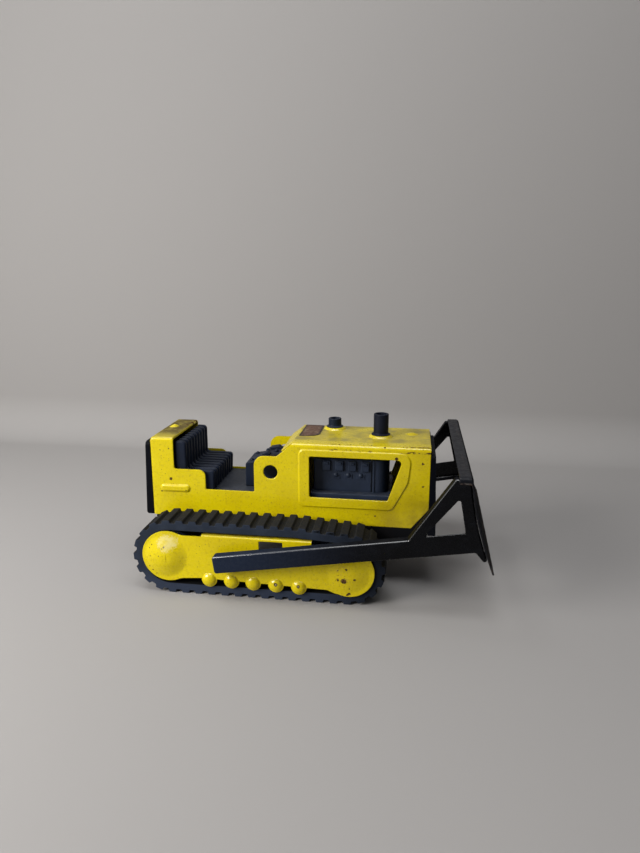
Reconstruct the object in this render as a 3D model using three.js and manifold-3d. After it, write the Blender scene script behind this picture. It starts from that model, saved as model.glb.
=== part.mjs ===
// Toy bulldozer: pressed-steel body and chassis, rubber tracks, dozer blade on push arms.
// +X is forward (blade end), +Y is the toy's left, +Z is up. The built model is in millimetres.
// Sizes and places are given in layout divisions: the body shell is 100 divisions long,
// x = 0 is its rear edge, y = 0 the middle plane and z = 0 its bottom edge.
import * as THREE from "three";
import { mergeVertices } from "three/addons/utils/BufferGeometryUtils.js";
import Module from "manifold-3d";

const wasm = await Module();
wasm.setup();

// ---------------------------------------------------------------- layout
const DIVISION = 1.12; // millimetres in one division
const X_MID = 58.7; // middle of the overall length, placed at the model's x = 0
const Z_GROUND = -23.05; // plane of the lug faces, placed at the model's z = 0
const toX = (x) => (x - X_MID) * DIVISION;
const toZ = (z) => (z - Z_GROUND) * DIVISION;
const toLength = (d) => d * DIVISION;

// ---------------------------------------------------------------- shared sizes, in divisions
const SHEET = 0.5; // pressed sheet thickness
const FIT = 0.02 / DIVISION; // gap between pieces that touch
const RUNNING = 0.06 / DIVISION; // radial running clearance
const SINK = 0.25; // depth a raised feature starts below its face
const PIN_SEG = 12; // facets round a pin, its holes and its nut

const RIVET_R = 0.7;
const RIVET_SEG = 8;
const BODY_RIVETS = { rear: 12, front: 70 }; // x of each pair
const BODY_RIVET_Y = 12.3;
const FRAME_RIVETS = { rear: 29, front: 56 }; // x of each rivet
const FRAME_RIVET_Z = -3.1;

const BODY_HALF = 14.45; // outer face of the body's side panels
const BOX_TOP = 29.6;
const HOOD_TOP = 29.25;
const HOOD_REAR = 52.3;
const HOOD_FRONT = 100;
const FLOOR_TOP = 9.9;
const SEAT_Z = FLOOR_TOP + FIT;
const ENGINE_TOP = 22.8;

// stubs standing through the hood
const STACK = { x: 82.2, y: 0, r: 2.7 };
const CLEANER = { x: 64.3, y: 9.4, r: 2.45 };
const STUB_SEG = 28;
const COLLAR_H = 0.75;

const CHASSIS_HALF = 14.4;
const WEB_TOP = -0.05;

const AXLE_R = 0.95;
const AXLE_END = 29.3;
const WHEEL_Y = 22.8;
const LUG_H = 1.1;
const BAND_T = 2.55;
const WHEEL_GAP = 0.3; // between wheel rim and band
// at is [x, z]; lugR runs to the lug faces
const AXLES = {
  rear: { at: [11.2, -9.5], lugR: 13.55 },
  front: { at: [73.4, -10.2], lugR: 12.85 },
};
const bandInnerR = ({ lugR }) => lugR - LUG_H - BAND_T;

const PLATE_OUT = 30.2; // outer face of the side plate
const PLATE_IN = PLATE_OUT - SHEET;
const TAB_OUT = CHASSIS_HALF + FIT; // tab face against the chassis wall

const PIVOT = [32.4, -8.3]; // push-arm pivot, [x, z]
const STUD_R = 1.1;
const ARM_Y = 35.1; // outer face of the arm at the pivot

const SIDES = { right: -1, left: 1 };

// ---------------------------------------------------------------- finishes
const YELLOW = 0xd8c628;
const BLACK_PLASTIC = 0x1f2730;
const GLOSS_BLACK = 0x14171c;
const STEEL = 0x8d9094;
const FINISHES = {
  yellowPaint: { color: YELLOW, roughness: 0.35, metalness: 0 },
  label: { color: 0x5a2f1c, roughness: 0.7, metalness: 0 },
  chassisPaint: { color: GLOSS_BLACK, roughness: 0.4, metalness: 0 },
  bladePaint: { color: GLOSS_BLACK, roughness: 0.35, metalness: 0 },
  armPaint: { color: GLOSS_BLACK, roughness: 0.3, metalness: 0 },
  plastic: { color: BLACK_PLASTIC, roughness: 0.5, metalness: 0 },
  seatPlastic: { color: BLACK_PLASTIC, roughness: 0.55, metalness: 0 },
  floorPlastic: { color: BLACK_PLASTIC, roughness: 0.6, metalness: 0 },
  rubber: { color: 0x1a1c1f, roughness: 0.85, metalness: 0 },
  brightSteel: { color: STEEL, roughness: 0.35, metalness: 0.9 },
  dullSteel: { color: STEEL, roughness: 0.4, metalness: 0.9 },
};

// ---------------------------------------------------------------- geometry and solids
// Weld a closed geometry, drop collapsed triangles and turn it right side out.
function solid(geometry) {
  const bare = geometry.clone();
  bare.deleteAttribute("normal");
  bare.deleteAttribute("uv");
  const welded = mergeVertices(bare, 1e-4);
  const p = welded.attributes.position.array;
  const index = welded.index.array;
  const triangles = [];
  let volume = 0;
  for (let i = 0; i < index.length; i += 3) {
    const [a, b, c] = [index[i], index[i + 1], index[i + 2]];
    if (a === b || b === c || a === c) continue;
    triangles.push(a, b, c);
    const [ax, ay, az] = [p[3 * a], p[3 * a + 1], p[3 * a + 2]];
    const [bx, by, bz] = [p[3 * b], p[3 * b + 1], p[3 * b + 2]];
    const [cx, cy, cz] = [p[3 * c], p[3 * c + 1], p[3 * c + 2]];
    volume += ax * (by * cz - bz * cy) + ay * (bz * cx - bx * cz) + az * (bx * cy - by * cx);
  }
  if (volume < 0) {
    for (let i = 0; i < triangles.length; i += 3) {
      [triangles[i + 1], triangles[i + 2]] = [triangles[i + 2], triangles[i + 1]];
    }
  }
  return new wasm.Manifold(
    new wasm.Mesh({
      numProp: 3,
      vertProperties: new Float32Array(p),
      triVerts: new Uint32Array(triangles),
    })
  );
}

function geometryOf(manifold) {
  const mesh = manifold.getMesh();
  const stride = mesh.numProp;
  const count = mesh.vertProperties.length / stride;
  const positions = new Float32Array(count * 3);
  for (let i = 0; i < count; i++) {
    for (let k = 0; k < 3; k++) positions[3 * i + k] = mesh.vertProperties[stride * i + k];
  }
  const geometry = new THREE.BufferGeometry();
  geometry.setAttribute("position", new THREE.BufferAttribute(positions, 3));
  geometry.setIndex(Array.from(mesh.triVerts));
  geometry.computeVertexNormals();
  return geometry;
}

const fuse = (...parts) => parts.flat().reduce((a, b) => a.add(b));
const cut = (base, ...tools) => tools.flat().reduce((a, b) => a.subtract(b), base);
const mirrorY = (manifold) => manifold.mirror([0, 1, 0]);

// [low, high] y range between two distances from the middle plane, on the given side
const sideSpan = (sign, near, far) => (sign > 0 ? [near, far] : [-far, -near]);

// ---------------------------------------------------------------- outlines
// points [u, v, radius] -> polygon with rounded corners
function rounded(points, seg = 4) {
  const out = [];
  const n = points.length;
  for (let i = 0; i < n; i++) {
    const [px, py, r = 0] = points[i];
    if (!r) {
      out.push([px, py]);
      continue;
    }
    const before = points[(i + n - 1) % n];
    const after = points[(i + 1) % n];
    const backLength = Math.hypot(before[0] - px, before[1] - py);
    const onLength = Math.hypot(after[0] - px, after[1] - py);
    const back = [(before[0] - px) / backLength, (before[1] - py) / backLength];
    const on = [(after[0] - px) / onLength, (after[1] - py) / onLength];
    const cosine = Math.max(-1, Math.min(1, back[0] * on[0] + back[1] * on[1]));
    const halfAngle = Math.acos(cosine) / 2;
    const tangent = r / Math.tan(halfAngle);
    const reach = r / Math.sin(halfAngle);
    const bisector = [back[0] + on[0], back[1] + on[1]];
    const size = Math.hypot(...bisector);
    const centre = [px + (bisector[0] / size) * reach, py + (bisector[1] / size) * reach];
    const start = [px + back[0] * tangent, py + back[1] * tangent];
    const end = [px + on[0] * tangent, py + on[1] * tangent];
    const angle0 = Math.atan2(start[1] - centre[1], start[0] - centre[0]);
    let angle1 = Math.atan2(end[1] - centre[1], end[0] - centre[0]);
    while (angle1 - angle0 > Math.PI) angle1 -= 2 * Math.PI;
    while (angle1 - angle0 < -Math.PI) angle1 += 2 * Math.PI;
    for (let k = 0; k <= seg; k++) {
      const angle = angle0 + ((angle1 - angle0) * k) / seg;
      out.push([centre[0] + r * Math.cos(angle), centre[1] + r * Math.sin(angle)]);
    }
  }
  return out;
}

// signed area, positive when the polygon runs counter-clockwise
function area(points) {
  let sum = 0;
  points.forEach((a, i) => {
    const b = points[(i + 1) % points.length];
    sum += a[0] * b[1] - a[1] * b[0];
  });
  return sum / 2;
}

// move every edge of a closed polygon inward by distance
function inset(points, distance) {
  const n = points.length;
  const turn = area(points) > 0 ? 1 : -1;
  const normal = (a, b) => {
    const length = Math.hypot(b[0] - a[0], b[1] - a[1]);
    return [(-(b[1] - a[1]) / length) * turn, ((b[0] - a[0]) / length) * turn];
  };
  return points.map((p, i) => {
    const n0 = normal(points[(i + n - 1) % n], p);
    const n1 = normal(p, points[(i + 1) % n]);
    const k = 1 + n0[0] * n1[0] + n0[1] * n1[1];
    return [p[0] + ((n0[0] + n1[0]) / k) * distance, p[1] + ((n0[1] + n1[1]) / k) * distance];
  });
}

const circle = ([cx, cy], r, seg, turn = 0) =>
  Array.from({ length: seg }, (_, i) => {
    const angle = turn + (2 * Math.PI * i) / seg;
    return [cx + r * Math.cos(angle), cy + r * Math.sin(angle)];
  });

function convexHull(points) {
  const sorted = points.slice().sort((a, b) => a[0] - b[0] || a[1] - b[1]);
  const turn = (o, a, b) => (a[0] - o[0]) * (b[1] - o[1]) - (a[1] - o[1]) * (b[0] - o[0]);
  const chain = (list) => {
    const out = [];
    for (const p of list) {
      while (out.length > 1 && turn(out[out.length - 2], out[out.length - 1], p) <= 1e-9) out.pop();
      out.push(p);
    }
    out.pop();
    return out;
  };
  return [...chain(sorted), ...chain(sorted.reverse())];
}

// ---------------------------------------------------------------- shape builders
// All take divisions and return solids in millimetres.
function extruded(points, depth, holes) {
  const vectors = (list) => list.map(([a, b]) => new THREE.Vector2(a, b));
  const shape = new THREE.Shape(vectors(points));
  for (const hole of holes) shape.holes.push(new THREE.Path(vectors(hole)));
  return new THREE.ExtrudeGeometry(shape, { depth, bevelEnabled: false, steps: 1 });
}

// [x, z] outline
function alongY(points, [y0, y1], holes = []) {
  const scaled = (list) => list.map(([x, z]) => [toX(x), toZ(z)]);
  const geometry = extruded(scaled(points), toLength(y1 - y0), holes.map(scaled));
  geometry.rotateX(Math.PI / 2);
  geometry.translate(0, toLength(y1), 0);
  return solid(geometry);
}

// [y, z] outline
function alongX(points, [x0, x1]) {
  const scaled = points.map(([y, z]) => [toLength(y), toZ(z)]);
  const geometry = extruded(scaled, toLength(x1 - x0), []);
  geometry.applyMatrix4(new THREE.Matrix4().set(0, 0, 1, 0, 1, 0, 0, 0, 0, 1, 0, 0, 0, 0, 0, 1));
  geometry.translate(toX(x0), 0, 0);
  return solid(geometry);
}

// [x, y] outline
function alongZ(points, [z0, z1]) {
  const scaled = points.map(([x, y]) => [toX(x), toLength(y)]);
  const geometry = extruded(scaled, toLength(z1 - z0), []);
  geometry.translate(0, 0, toZ(z0));
  return solid(geometry);
}

const box = ([x0, x1], [y0, y1], zRange) =>
  alongZ([[x0, y0], [x1, y0], [x1, y1], [x0, y1]], zRange);

// stack of [x, z] loops at given y values, closed at both ends
function loftY(loops) {
  const n = loops[0].points.length;
  const positions = [];
  const index = [];
  for (const { points, y } of loops) {
    for (const [x, z] of points) positions.push(toX(x), toLength(y), toZ(z));
  }
  for (let k = 0; k < loops.length - 1; k++) {
    for (let i = 0; i < n; i++) {
      const [a, b] = [k * n + i, k * n + ((i + 1) % n)];
      const [c, d] = [a + n, b + n];
      index.push(a, b, d, a, d, c);
    }
  }
  const contour = loops[0].points.map(([x, z]) => new THREE.Vector2(x, z));
  const last = (loops.length - 1) * n;
  const counterClockwise = area(loops[0].points) > 0;
  for (const [a, b, c] of THREE.ShapeUtils.triangulateShape(contour, [])) {
    if (counterClockwise) index.push(a, c, b, last + a, last + b, last + c);
    else index.push(a, b, c, last + a, last + c, last + b);
  }
  const geometry = new THREE.BufferGeometry();
  geometry.setAttribute("position", new THREE.BufferAttribute(new Float32Array(positions), 3));
  geometry.setIndex(index);
  return solid(geometry);
}

// raised pad on the face y = base, rising towards sign; steps are [inset, height]
const pad = (points, base, sign, steps) =>
  loftY([
    { points, y: base - sign * SINK },
    ...steps.map(([distance, height]) => ({
      points: distance ? inset(points, distance) : points,
      y: base + sign * height,
    })),
  ]);

// lathe about a Y line through [x, z]; profile is [radius, y]
function aboutY(profile, [x, z], seg) {
  const points = profile.map(([r, y]) => new THREE.Vector2(toLength(r), toLength(y)));
  const geometry = new THREE.LatheGeometry(points, seg);
  geometry.translate(toX(x), 0, toZ(z));
  return solid(geometry);
}

// lathe about a Z line through [x, y]; profile is [radius, z]
function aboutZ(profile, [x, y], seg) {
  const points = profile.map(([r, z]) => new THREE.Vector2(toLength(r), toLength(z)));
  const geometry = new THREE.LatheGeometry(points, seg);
  geometry.rotateX(Math.PI / 2);
  geometry.translate(toX(x), toLength(y), toZ(0));
  return solid(geometry);
}

const rodY = (r, [y0, y1], at, seg) => aboutY([[0, y0], [r, y0], [r, y1], [0, y1]], at, seg);

// spherical cap of radius r and height h on the face y = base, bulging towards -Y
function dome(r, h, base, at, seg, rings) {
  const sphereR = (r * r + h * h) / (2 * h);
  const rimAngle = Math.asin(Math.min(1, r / sphereR));
  const profile = [[0, base + SINK], [r, base + SINK]];
  for (let i = 0; i < rings; i++) {
    const angle = rimAngle * (1 - i / rings);
    profile.push([sphereR * Math.sin(angle), base - (sphereR * Math.cos(angle) - (sphereR - h))]);
  }
  profile.push([0, base - h]);
  return aboutY(profile, at, seg);
}

// push nut: ring of bore and outer radius, chamfered at its y0 face
const pushNut = (bore, outer, [y0, y1], at) =>
  aboutY(
    [[bore, y0], [outer * 0.75, y0], [outer, y0 + 0.2], [outer, y1], [bore, y1], [bore, y0]],
    at, PIN_SEG
  );

// ---------------------------------------------------------------- groups
// One group per moving body, placed at its pivot; the chassis group sits at the origin.
const root = new THREE.Group();
root.name = "toy_bulldozer";
const groups = {};
function addGroup(name, x = 0, y = 0, z = 0) {
  const group = new THREE.Group();
  group.name = `${name}_group`;
  group.position.set(x, y, z);
  root.add(group);
  groups[name] = group;
}
addGroup("chassis");
addGroup("blade", toX(PIVOT[0]), 0, toZ(PIVOT[1]));
for (const [end, { at: [x, z] }] of Object.entries(AXLES)) {
  for (const [side, sign] of Object.entries(SIDES)) {
    addGroup(`${end}_${side}`, toX(x), sign * toLength(WHEEL_Y), toZ(z));
  }
}

// The solid is drawn in the model frame; its mesh is shifted to its group's own zero.
function add(name, manifold, finish, groupName = "chassis") {
  const group = groups[groupName];
  const geometry = geometryOf(manifold);
  geometry.translate(-group.position.x, -group.position.y, -group.position.z);
  const mesh = new THREE.Mesh(geometry, new THREE.MeshStandardMaterial({ name, ...finish }));
  mesh.name = name;
  group.add(mesh);
}

// Add a right-hand solid and its mirror image; nameOf and groupOf take the side's name.
function addPair(nameOf, right, finish, groupOf = () => "chassis") {
  add(nameOf("right"), right, finish, groupOf("right"));
  add(nameOf("left"), mirrorY(right), finish, groupOf("left"));
}

// ---------------------------------------------------------------- body shell
// outlines seen from the side, [x, z, corner radius]
const SIDE_OUTLINE = [
  [0, 0, 0.6], [0, BOX_TOP, 1.2], [8.5, BOX_TOP, 0.4], [8.5, 17.85, 0.9],
  [20.1, 17.85, 2.4], [20.1, 10.6, 0.5], [38.1, 10.6, 0.5], [38.1, 24.1, 3.6],
  [46.2, 24.1, 0.9], [HOOD_REAR, HOOD_TOP + 0.05, 0.5],
  [HOOD_FRONT, HOOD_TOP + 0.05], [HOOD_FRONT, 7.2, 0.8], [94.2, 0, 0.6],
];
const WINDOW = [[58.0, 24.75, 0.7], [90.6, 24.65, 1.4], [85.7, 9.7, 0.7], [58.1, 9.75, 0.7]];
const WINDOW_FRAME = [
  [54.2, 27.3, 2.0], [93.9, 27.3, 3.8], [92.8, 16.5, 8], [87.4, 6.1, 2.4], [54.2, 6.1, 2.2],
];
const STADIUM = [[3.1, 12.1, 1.49], [14.4, 12.1, 1.49], [14.4, 9.1, 1.49], [3.1, 9.1, 1.49]];
// sloping flap, [x, z]
const FLAP = [
  [53.4, HOOD_TOP], [52.2, HOOD_TOP], [47.55, 25.75],
  [47.85, 25.35], [HOOD_REAR, HOOD_TOP - SHEET], [53.4, HOOD_TOP - SHEET],
];
const SIDE_HOLE = { at: [44.1, 18.3], r: 2.55 };
const LIP_X = [[5, 19], [60, 80]]; // bottom lips, rear and front

// folded sheet, open below, with bent top edges
function channel(xRange, top) {
  const bend = 1.3;
  const low = -1;
  const arch = (half, peak, r) => [[-half, low], [-half, peak, r], [half, peak, r], [half, low]];
  const outer = rounded(arch(BODY_HALF, top, bend));
  const inner = rounded(arch(BODY_HALF - SHEET, top - SHEET, bend - SHEET).reverse());
  return alongX([...outer, ...inner], xRange);
}

// sheet pressed up round a stub
function collar({ x, y, r }, outer) {
  const z = HOOD_TOP;
  const profile = [
    [0, z - 0.3], [outer, z - 0.3], [outer, z + 0.03], [outer - 0.25, z + 0.4],
    [r + 0.85, z + 0.72], [r + 0.1, z + COLLAR_H], [0, z + COLLAR_H],
  ];
  return aboutZ(profile, [x, y], STUB_SEG);
}

// low oval button of height h with half-widths rx and ry
function ovalPip([x, y, z], rx, ry, h) {
  const profile = [[0, -SINK], [1, -SINK], [1, 0], [0.8, h * 0.7], [0.45, h * 0.93], [0, h]];
  const points = profile.map(([r, rise]) => new THREE.Vector2(toLength(r), toLength(rise)));
  const geometry = new THREE.LatheGeometry(points, 20);
  geometry.rotateX(Math.PI / 2);
  geometry.scale(rx, ry, 1);
  geometry.translate(toX(x), toLength(y), toZ(z));
  return solid(geometry);
}

// cutters for the four rivets that hold the body lips to the chassis
const bodyRivetHoles = (zRange) =>
  Object.values(BODY_RIVETS).flatMap((x) =>
    Object.values(SIDES).map((sign) =>
      alongZ(circle([x, sign * BODY_RIVET_Y], RIVET_R + FIT, RIVET_SEG), zRange)
    )
  );

function addBodyShell() {
  let body = channel([-0.5, 30], BOX_TOP).add(channel([30, 101], HOOD_TOP));
  body = body.intersect(alongY(rounded(SIDE_OUTLINE), [-16, 16]));
  // flap behind the hood, clear of both side panels
  body = body.add(alongY(FLAP, [-12.9, 12.9]));
  for (const xRange of LIP_X) {
    for (const sign of [-1, 1]) body = body.add(box(xRange, sideSpan(sign, 10.6, 14.2), [0, SHEET]));
  }
  for (const sign of [-1, 1]) {
    const face = sign * BODY_HALF;
    const throughSide = sideSpan(sign, 12, 16);
    body = body.add(pad(rounded(WINDOW_FRAME), face, sign, [[0, 0.02], [0.42, 0.36]]));
    body = cut(body, alongY(rounded(WINDOW), throughSide));
    body = body.add(pad(rounded(STADIUM, 3), face, sign, [[0, 0.02], [0.3, 0.42], [0.8, 0.62]]));
    body = cut(body, alongY(circle(SIDE_HOLE.at, SIDE_HOLE.r, 32), throughSide));
  }
  body = body.add(collar(STACK, 4.3)).add(collar(CLEANER, 4.0));
  for (const { x, y, r } of [STACK, CLEANER]) {
    body = cut(body, alongZ(circle([x, y], r + 0.18, STUB_SEG), [26, 32]));
  }
  body = body.add(ovalPip([93.4, 4.6, HOOD_TOP], 1.9, 1.3, 0.4));
  body = body.add(ovalPip([3.4, 1.6, BOX_TOP], 1.7, 1.9, 0.45));
  add("body_shell", cut(body, bodyRivetHoles([-1, 2])), FINISHES.yellowPaint);
}

// plain label on the hood's rear left corner
function addHoodLabel() {
  // [x, y, corner radius]
  const outline = [[52.6, -4.2, 0.6], [59.9, -3.0, 3.6], [59.9, 12.9, 0.8], [52.8, 12.9, 0.6]];
  const bottom = HOOD_TOP + FIT;
  add("hood_label", alongZ(rounded(outline), [bottom, bottom + 0.12]), FINISHES.label);
}

// ---------------------------------------------------------------- chassis
// side wall, [x, z, corner radius]
const CHASSIS_WALL = [
  [1.0, WEB_TOP], [94.3, WEB_TOP], [99.95, 6.95], [99.95, -2.4, 0.6],
  [95, -4.6, 1.5], [20, -5.4], [3, -5.4, 1.5], [1.0, -3.2, 0.8],
];

function addChassis() {
  const wallY = [-CHASSIS_HALF, -CHASSIS_HALF + SHEET];
  const fullWidth = [-CHASSIS_HALF, CHASSIS_HALF];
  const through = [-20, 20];
  let wall = alongY(rounded(CHASSIS_WALL), wallY);
  // round ear at each axle, hung from a tapering neck
  for (const { at: [x, z] } of Object.values(AXLES)) {
    wall = wall.add(alongY(circle([x, z], 3.3, 16), wallY));
    wall = wall.add(alongY([[x - 5.6, -4], [x + 5.6, -4], [x + 3.2, z], [x - 3.2, z]], wallY));
  }
  let chassis = fuse(wall, mirrorY(wall), box([1.0, 94.2], fullWidth, [WEB_TOP - SHEET, WEB_TOP]));
  // front cross member that backs the grille
  chassis = chassis.add(box([99.45, 99.95], fullWidth, [-2.2, 6.6]));
  for (const { at } of Object.values(AXLES)) {
    chassis = cut(chassis, rodY(AXLE_R + FIT, through, at, PIN_SEG));
  }
  for (const x of Object.values(FRAME_RIVETS)) {
    chassis = cut(chassis, rodY(RIVET_R + FIT, through, [x, FRAME_RIVET_Z], RIVET_SEG));
  }
  add("chassis_channel", cut(chassis, bodyRivetHoles([-2, 1])), FINISHES.chassisPaint);
}

function addBodyRivets() {
  const low = WEB_TOP - SHEET - FIT;
  const high = SHEET + FIT;
  const profile = [
    [0, low - 0.5], [1.0, low - 0.5], [1.3, low], [RIVET_R, low],
    [RIVET_R, high], [1.3, high], [1.1, SHEET + 0.6], [0, SHEET + 0.75],
  ];
  for (const [end, x] of Object.entries(BODY_RIVETS)) {
    for (const [side, sign] of Object.entries(SIDES)) {
      const rivet = aboutZ(profile, [x, sign * BODY_RIVET_Y], RIVET_SEG);
      add(`body_rivet_${side}_${end}`, rivet, FINISHES.dullSteel);
    }
  }
}

// ---------------------------------------------------------------- rear panel and grille
function addRearPanel() {
  // [x, z, corner radius], then [y, z, corner radius]
  const sideView = [[-1.9, 28.1, 0.9], [-FIT, 28.1], [-FIT, 0.05], [-2.9, 0.05, 0.9]];
  const rearView = [[-14.3, 0], [-14.3, 28.2, 2], [14.3, 28.2, 2], [14.3, 0]];
  let panel = alongY(rounded(sideView, 3), [-14.3, 14.3]);
  panel = panel.intersect(alongX(rounded(rearView), [-4, 1]));
  // plug inside the body, hollow from its front
  panel = panel.add(box([-0.6, 3.4], [-13.8, 13.8], [13.2, 27.0]));
  panel = panel.subtract(box([0.9, 5], [-12.6, 12.6], [14.4, 25.8]));
  add("rear_panel", panel, FINISHES.plastic);
}

function addGrille() {
  const back = HOOD_FRONT + FIT;
  const half = CHASSIS_HALF;
  // [x, z, corner radius], then [y, z, corner radius]
  const sideView = [[back, 27.0], [101.7, 27.0, 0.5], [102.8, -2.4, 0.6], [back, -2.4]];
  const frontView = [[-half, -2.5], [-half, 27.0, 1.7], [half, 27.0, 1.7], [half, -2.5]];
  let grille = alongY(rounded(sideView, 3), [-half, half]);
  grille = grille.intersect(alongX(rounded(frontView, 5), [98, 104]));
  // plug inside the hood, hollow from its back
  grille = grille.add(box([97.2, 100.4], [-13.85, 13.85], [9.0, 28.2]));
  grille = grille.subtract(box([96, 99.2], [-12.4, 12.4], [10.4, 26.8]));
  // rows of horizontal slots either side of a centre post
  const slots = { count: 9, bottom: 1.4, pitch: 2.7, height: 1.6 };
  for (let i = 0; i < slots.count; i++) {
    const z = slots.bottom + i * slots.pitch;
    for (const sign of [-1, 1]) {
      grille = cut(grille, box([100.9, 104], sideSpan(sign, 0.8, 12.2), [z, z + slots.height]));
    }
  }
  add("radiator_grille", grille, FINISHES.plastic);
}

// ---------------------------------------------------------------- cockpit
function addCockpitFloor() {
  let floor = box([8.9, 48.0], [-13.85, 13.85], [FLOOR_TOP - 1.2, FLOOR_TOP]);
  // upright wall at the front, and a long rib under each side
  floor = floor.add(box([46.9, 48.0], [-13.6, 13.6], [FLOOR_TOP - 0.6, 24.6]));
  for (const sign of [-1, 1]) {
    floor = floor.add(box([9.5, 46], sideSpan(sign, 7.4, 9.0), [0, FLOOR_TOP - 0.6]));
  }
  add("cockpit_floor", floor, FINISHES.floorPlastic);
}

function addSeat() {
  // [x, z, corner radius]
  const core = [
    [9.1, SEAT_Z], [9.1, 27.0, 0.8], [11.9, 27.0, 0.9],
    [11.9, 16.6, 0.8], [22.2, 16.6, 0.8], [22.2, SEAT_Z],
  ];
  const rib = [
    [8.9, SEAT_Z], [8.9, 27.95, 0.8], [12.75, 27.95, 1.5],
    [12.75, 17.3, 1.3], [23.1, 17.3, 1.2], [22.75, SEAT_Z],
  ];
  const ribCount = 9;
  const ribT = 1.85;
  const half = 13.1;
  let seat = alongY(rounded(core, 2), [-12.9, 12.9]);
  for (let i = 0; i < ribCount; i++) {
    const y = -half + ribT / 2 + (i * (2 * half - ribT)) / (ribCount - 1);
    seat = seat.add(alongY(rounded(rib, 2), [y - ribT / 2, y + ribT / 2]));
  }
  add("seat", seat, FINISHES.seatPlastic);
}

function addDashConsole() {
  // [x, z, corner radius]
  const outline = [
    [33.0, SEAT_Z], [33.0, 18.9, 0.8], [38.1, 19.6, 0.7],
    [39.5, 21.6, 0.6], [46.3, 22.1, 0.4], [46.3, SEAT_Z],
  ];
  let console = alongY(rounded(outline, 3), [-6.6, 7.4]);
  // two small round knobs on the top
  const knob = { x: 36.0, z: 19.3, r: 0.9, h: 0.7 };
  const profile = [
    [0, knob.z - 0.6], [knob.r, knob.z - 0.6], [knob.r, knob.z + knob.h * 0.6],
    [knob.r * 0.6, knob.z + knob.h], [0, knob.z + knob.h],
  ];
  for (const y of [-3.2, 4.0]) console = console.add(aboutZ(profile, [knob.x, y], 16));
  add("dash_console", console, FINISHES.plastic);
}

// ---------------------------------------------------------------- engine and stubs
const ENGINE_HALF = 9.6;
// block and its foot seen from above, [x, y, corner radius]
const ENGINE_BLOCK = [
  [58.9, -ENGINE_HALF, 0.5], [85.6, -ENGINE_HALF, 4.0],
  [85.6, ENGINE_HALF, 4.0], [58.9, ENGINE_HALF, 0.5],
];
const ENGINE_FOOT = [[58.2, -12.6, 0.6], [87.0, -12.6, 0.9], [87.0, 12.6, 0.9], [58.2, 12.6, 0.6]];
// x of the raised covers and of the round bosses below them
const ENGINE_SIDES = [
  { sign: -1, covers: [63.6, 68.2, 72.8, 77.4], bosses: [67.0, 71.4, 75.9] },
  { sign: 1, covers: [72.8, 77.4], bosses: [71.4, 75.9] },
];

function addEngine() {
  let engine = alongZ(rounded(ENGINE_BLOCK, 6), [8.0, ENGINE_TOP]);
  engine = engine.add(alongZ(rounded(ENGINE_FOOT, 3), [7.4, 10.8]));
  engine = engine.add(box([60, 84], [-9.2, 9.2], [0, 7.6]));
  // block on the left side that carries the air cleaner
  engine = engine.add(box([61.4, 67.2], [7, 12.2], [10.2, ENGINE_TOP]));
  for (const { sign, covers, bosses } of ENGINE_SIDES) {
    const fromFace = (near, far) => sideSpan(sign, ENGINE_HALF + near, ENGINE_HALF + far);
    for (const x of covers) {
      engine = engine.add(box([x - 1.65, x + 1.65], fromFace(-0.5, 0.75), [18.2, 22.3]));
    }
    for (const x of bosses) engine = engine.add(rodY(1.0, fromFace(-0.5, 0.6), [x, 16.9], 16));
    // upright groove ahead of the covers
    engine = cut(engine, box([79.3, 80.3], fromFace(-0.6, 1.5), [10.8, 24]));
  }
  add("engine_block", engine, FINISHES.plastic);
}

// round stub standing on the engine, flanged above its collar and bored from the top
function addStub(name, { x, y, r }, top, depth) {
  const bottom = ENGINE_TOP + FIT;
  const flange = HOOD_TOP + COLLAR_H + FIT;
  const profile = [
    [0, bottom], [r, bottom], [r, flange], [r + 0.65, flange], [r + 0.65, flange + 0.25],
    [r, flange + 0.6], [r, top - 0.2], [r - 0.2, top], [r - 0.7, top],
    [r - 0.8, top - 0.25], [r - 0.8, top - depth], [0, top - depth],
  ];
  add(name, aboutZ(profile, [x, y], STUB_SEG), FINISHES.plastic);
}

// ---------------------------------------------------------------- axles, wheels, push nuts
function addAxle(end, { at }) {
  const tip = AXLE_END;
  const tipR = AXLE_R - 0.2;
  const profile = [
    [0, -tip], [tipR, -tip], [AXLE_R, -tip + 0.25],
    [AXLE_R, tip - 0.25], [tipR, tip], [0, tip],
  ];
  add(`${end}_axle`, aboutY(profile, at, PIN_SEG), FINISHES.brightSteel);
}

// right-hand wheel: hub, thin disc with five round holes, and rim
function wheel(outer, at) {
  const bore = AXLE_R + RUNNING;
  const hub = 2.5;
  const rim = outer - 1.5;
  const profile = [
    [bore, -28.05], [hub, -28.05], [hub, -23.6], [rim, -23.6], [rim, -27.9],
    [outer, -27.9], [outer, -17.7], [rim, -17.7], [rim, -21.8], [hub, -21.8],
    [hub, -14.6], [bore, -14.6], [bore, -28.05],
  ];
  const holes = circle(at, (hub + rim) / 2, 5, Math.PI / 2);
  return cut(aboutY(profile, at, 20), holes.map((hole) => rodY(1.5, [-26, -19], hole, 8)));
}

function addWheels(end, axle) {
  const right = wheel(bandInnerR(axle) - WHEEL_GAP, axle.at);
  addPair((side) => `${end}_wheel_${side}`, right, FINISHES.plastic, (side) => `${end}_${side}`);
  const nut = pushNut(AXLE_R + FIT, 2.1, [-28.85, -28.2], axle.at);
  addPair((side) => `axle_nut_${end}_${side}`, nut, FINISHES.brightSteel);
}

// ---------------------------------------------------------------- track bands
const TRACK_Y = [-29.3, -17.3];
const LUG = { count: 42, footHalf: 1.55, faceHalf: 1.15 };
const FIRST_LUG_X = 40; // on the bottom run, so that lug 0 stands flat on the ground

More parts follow.
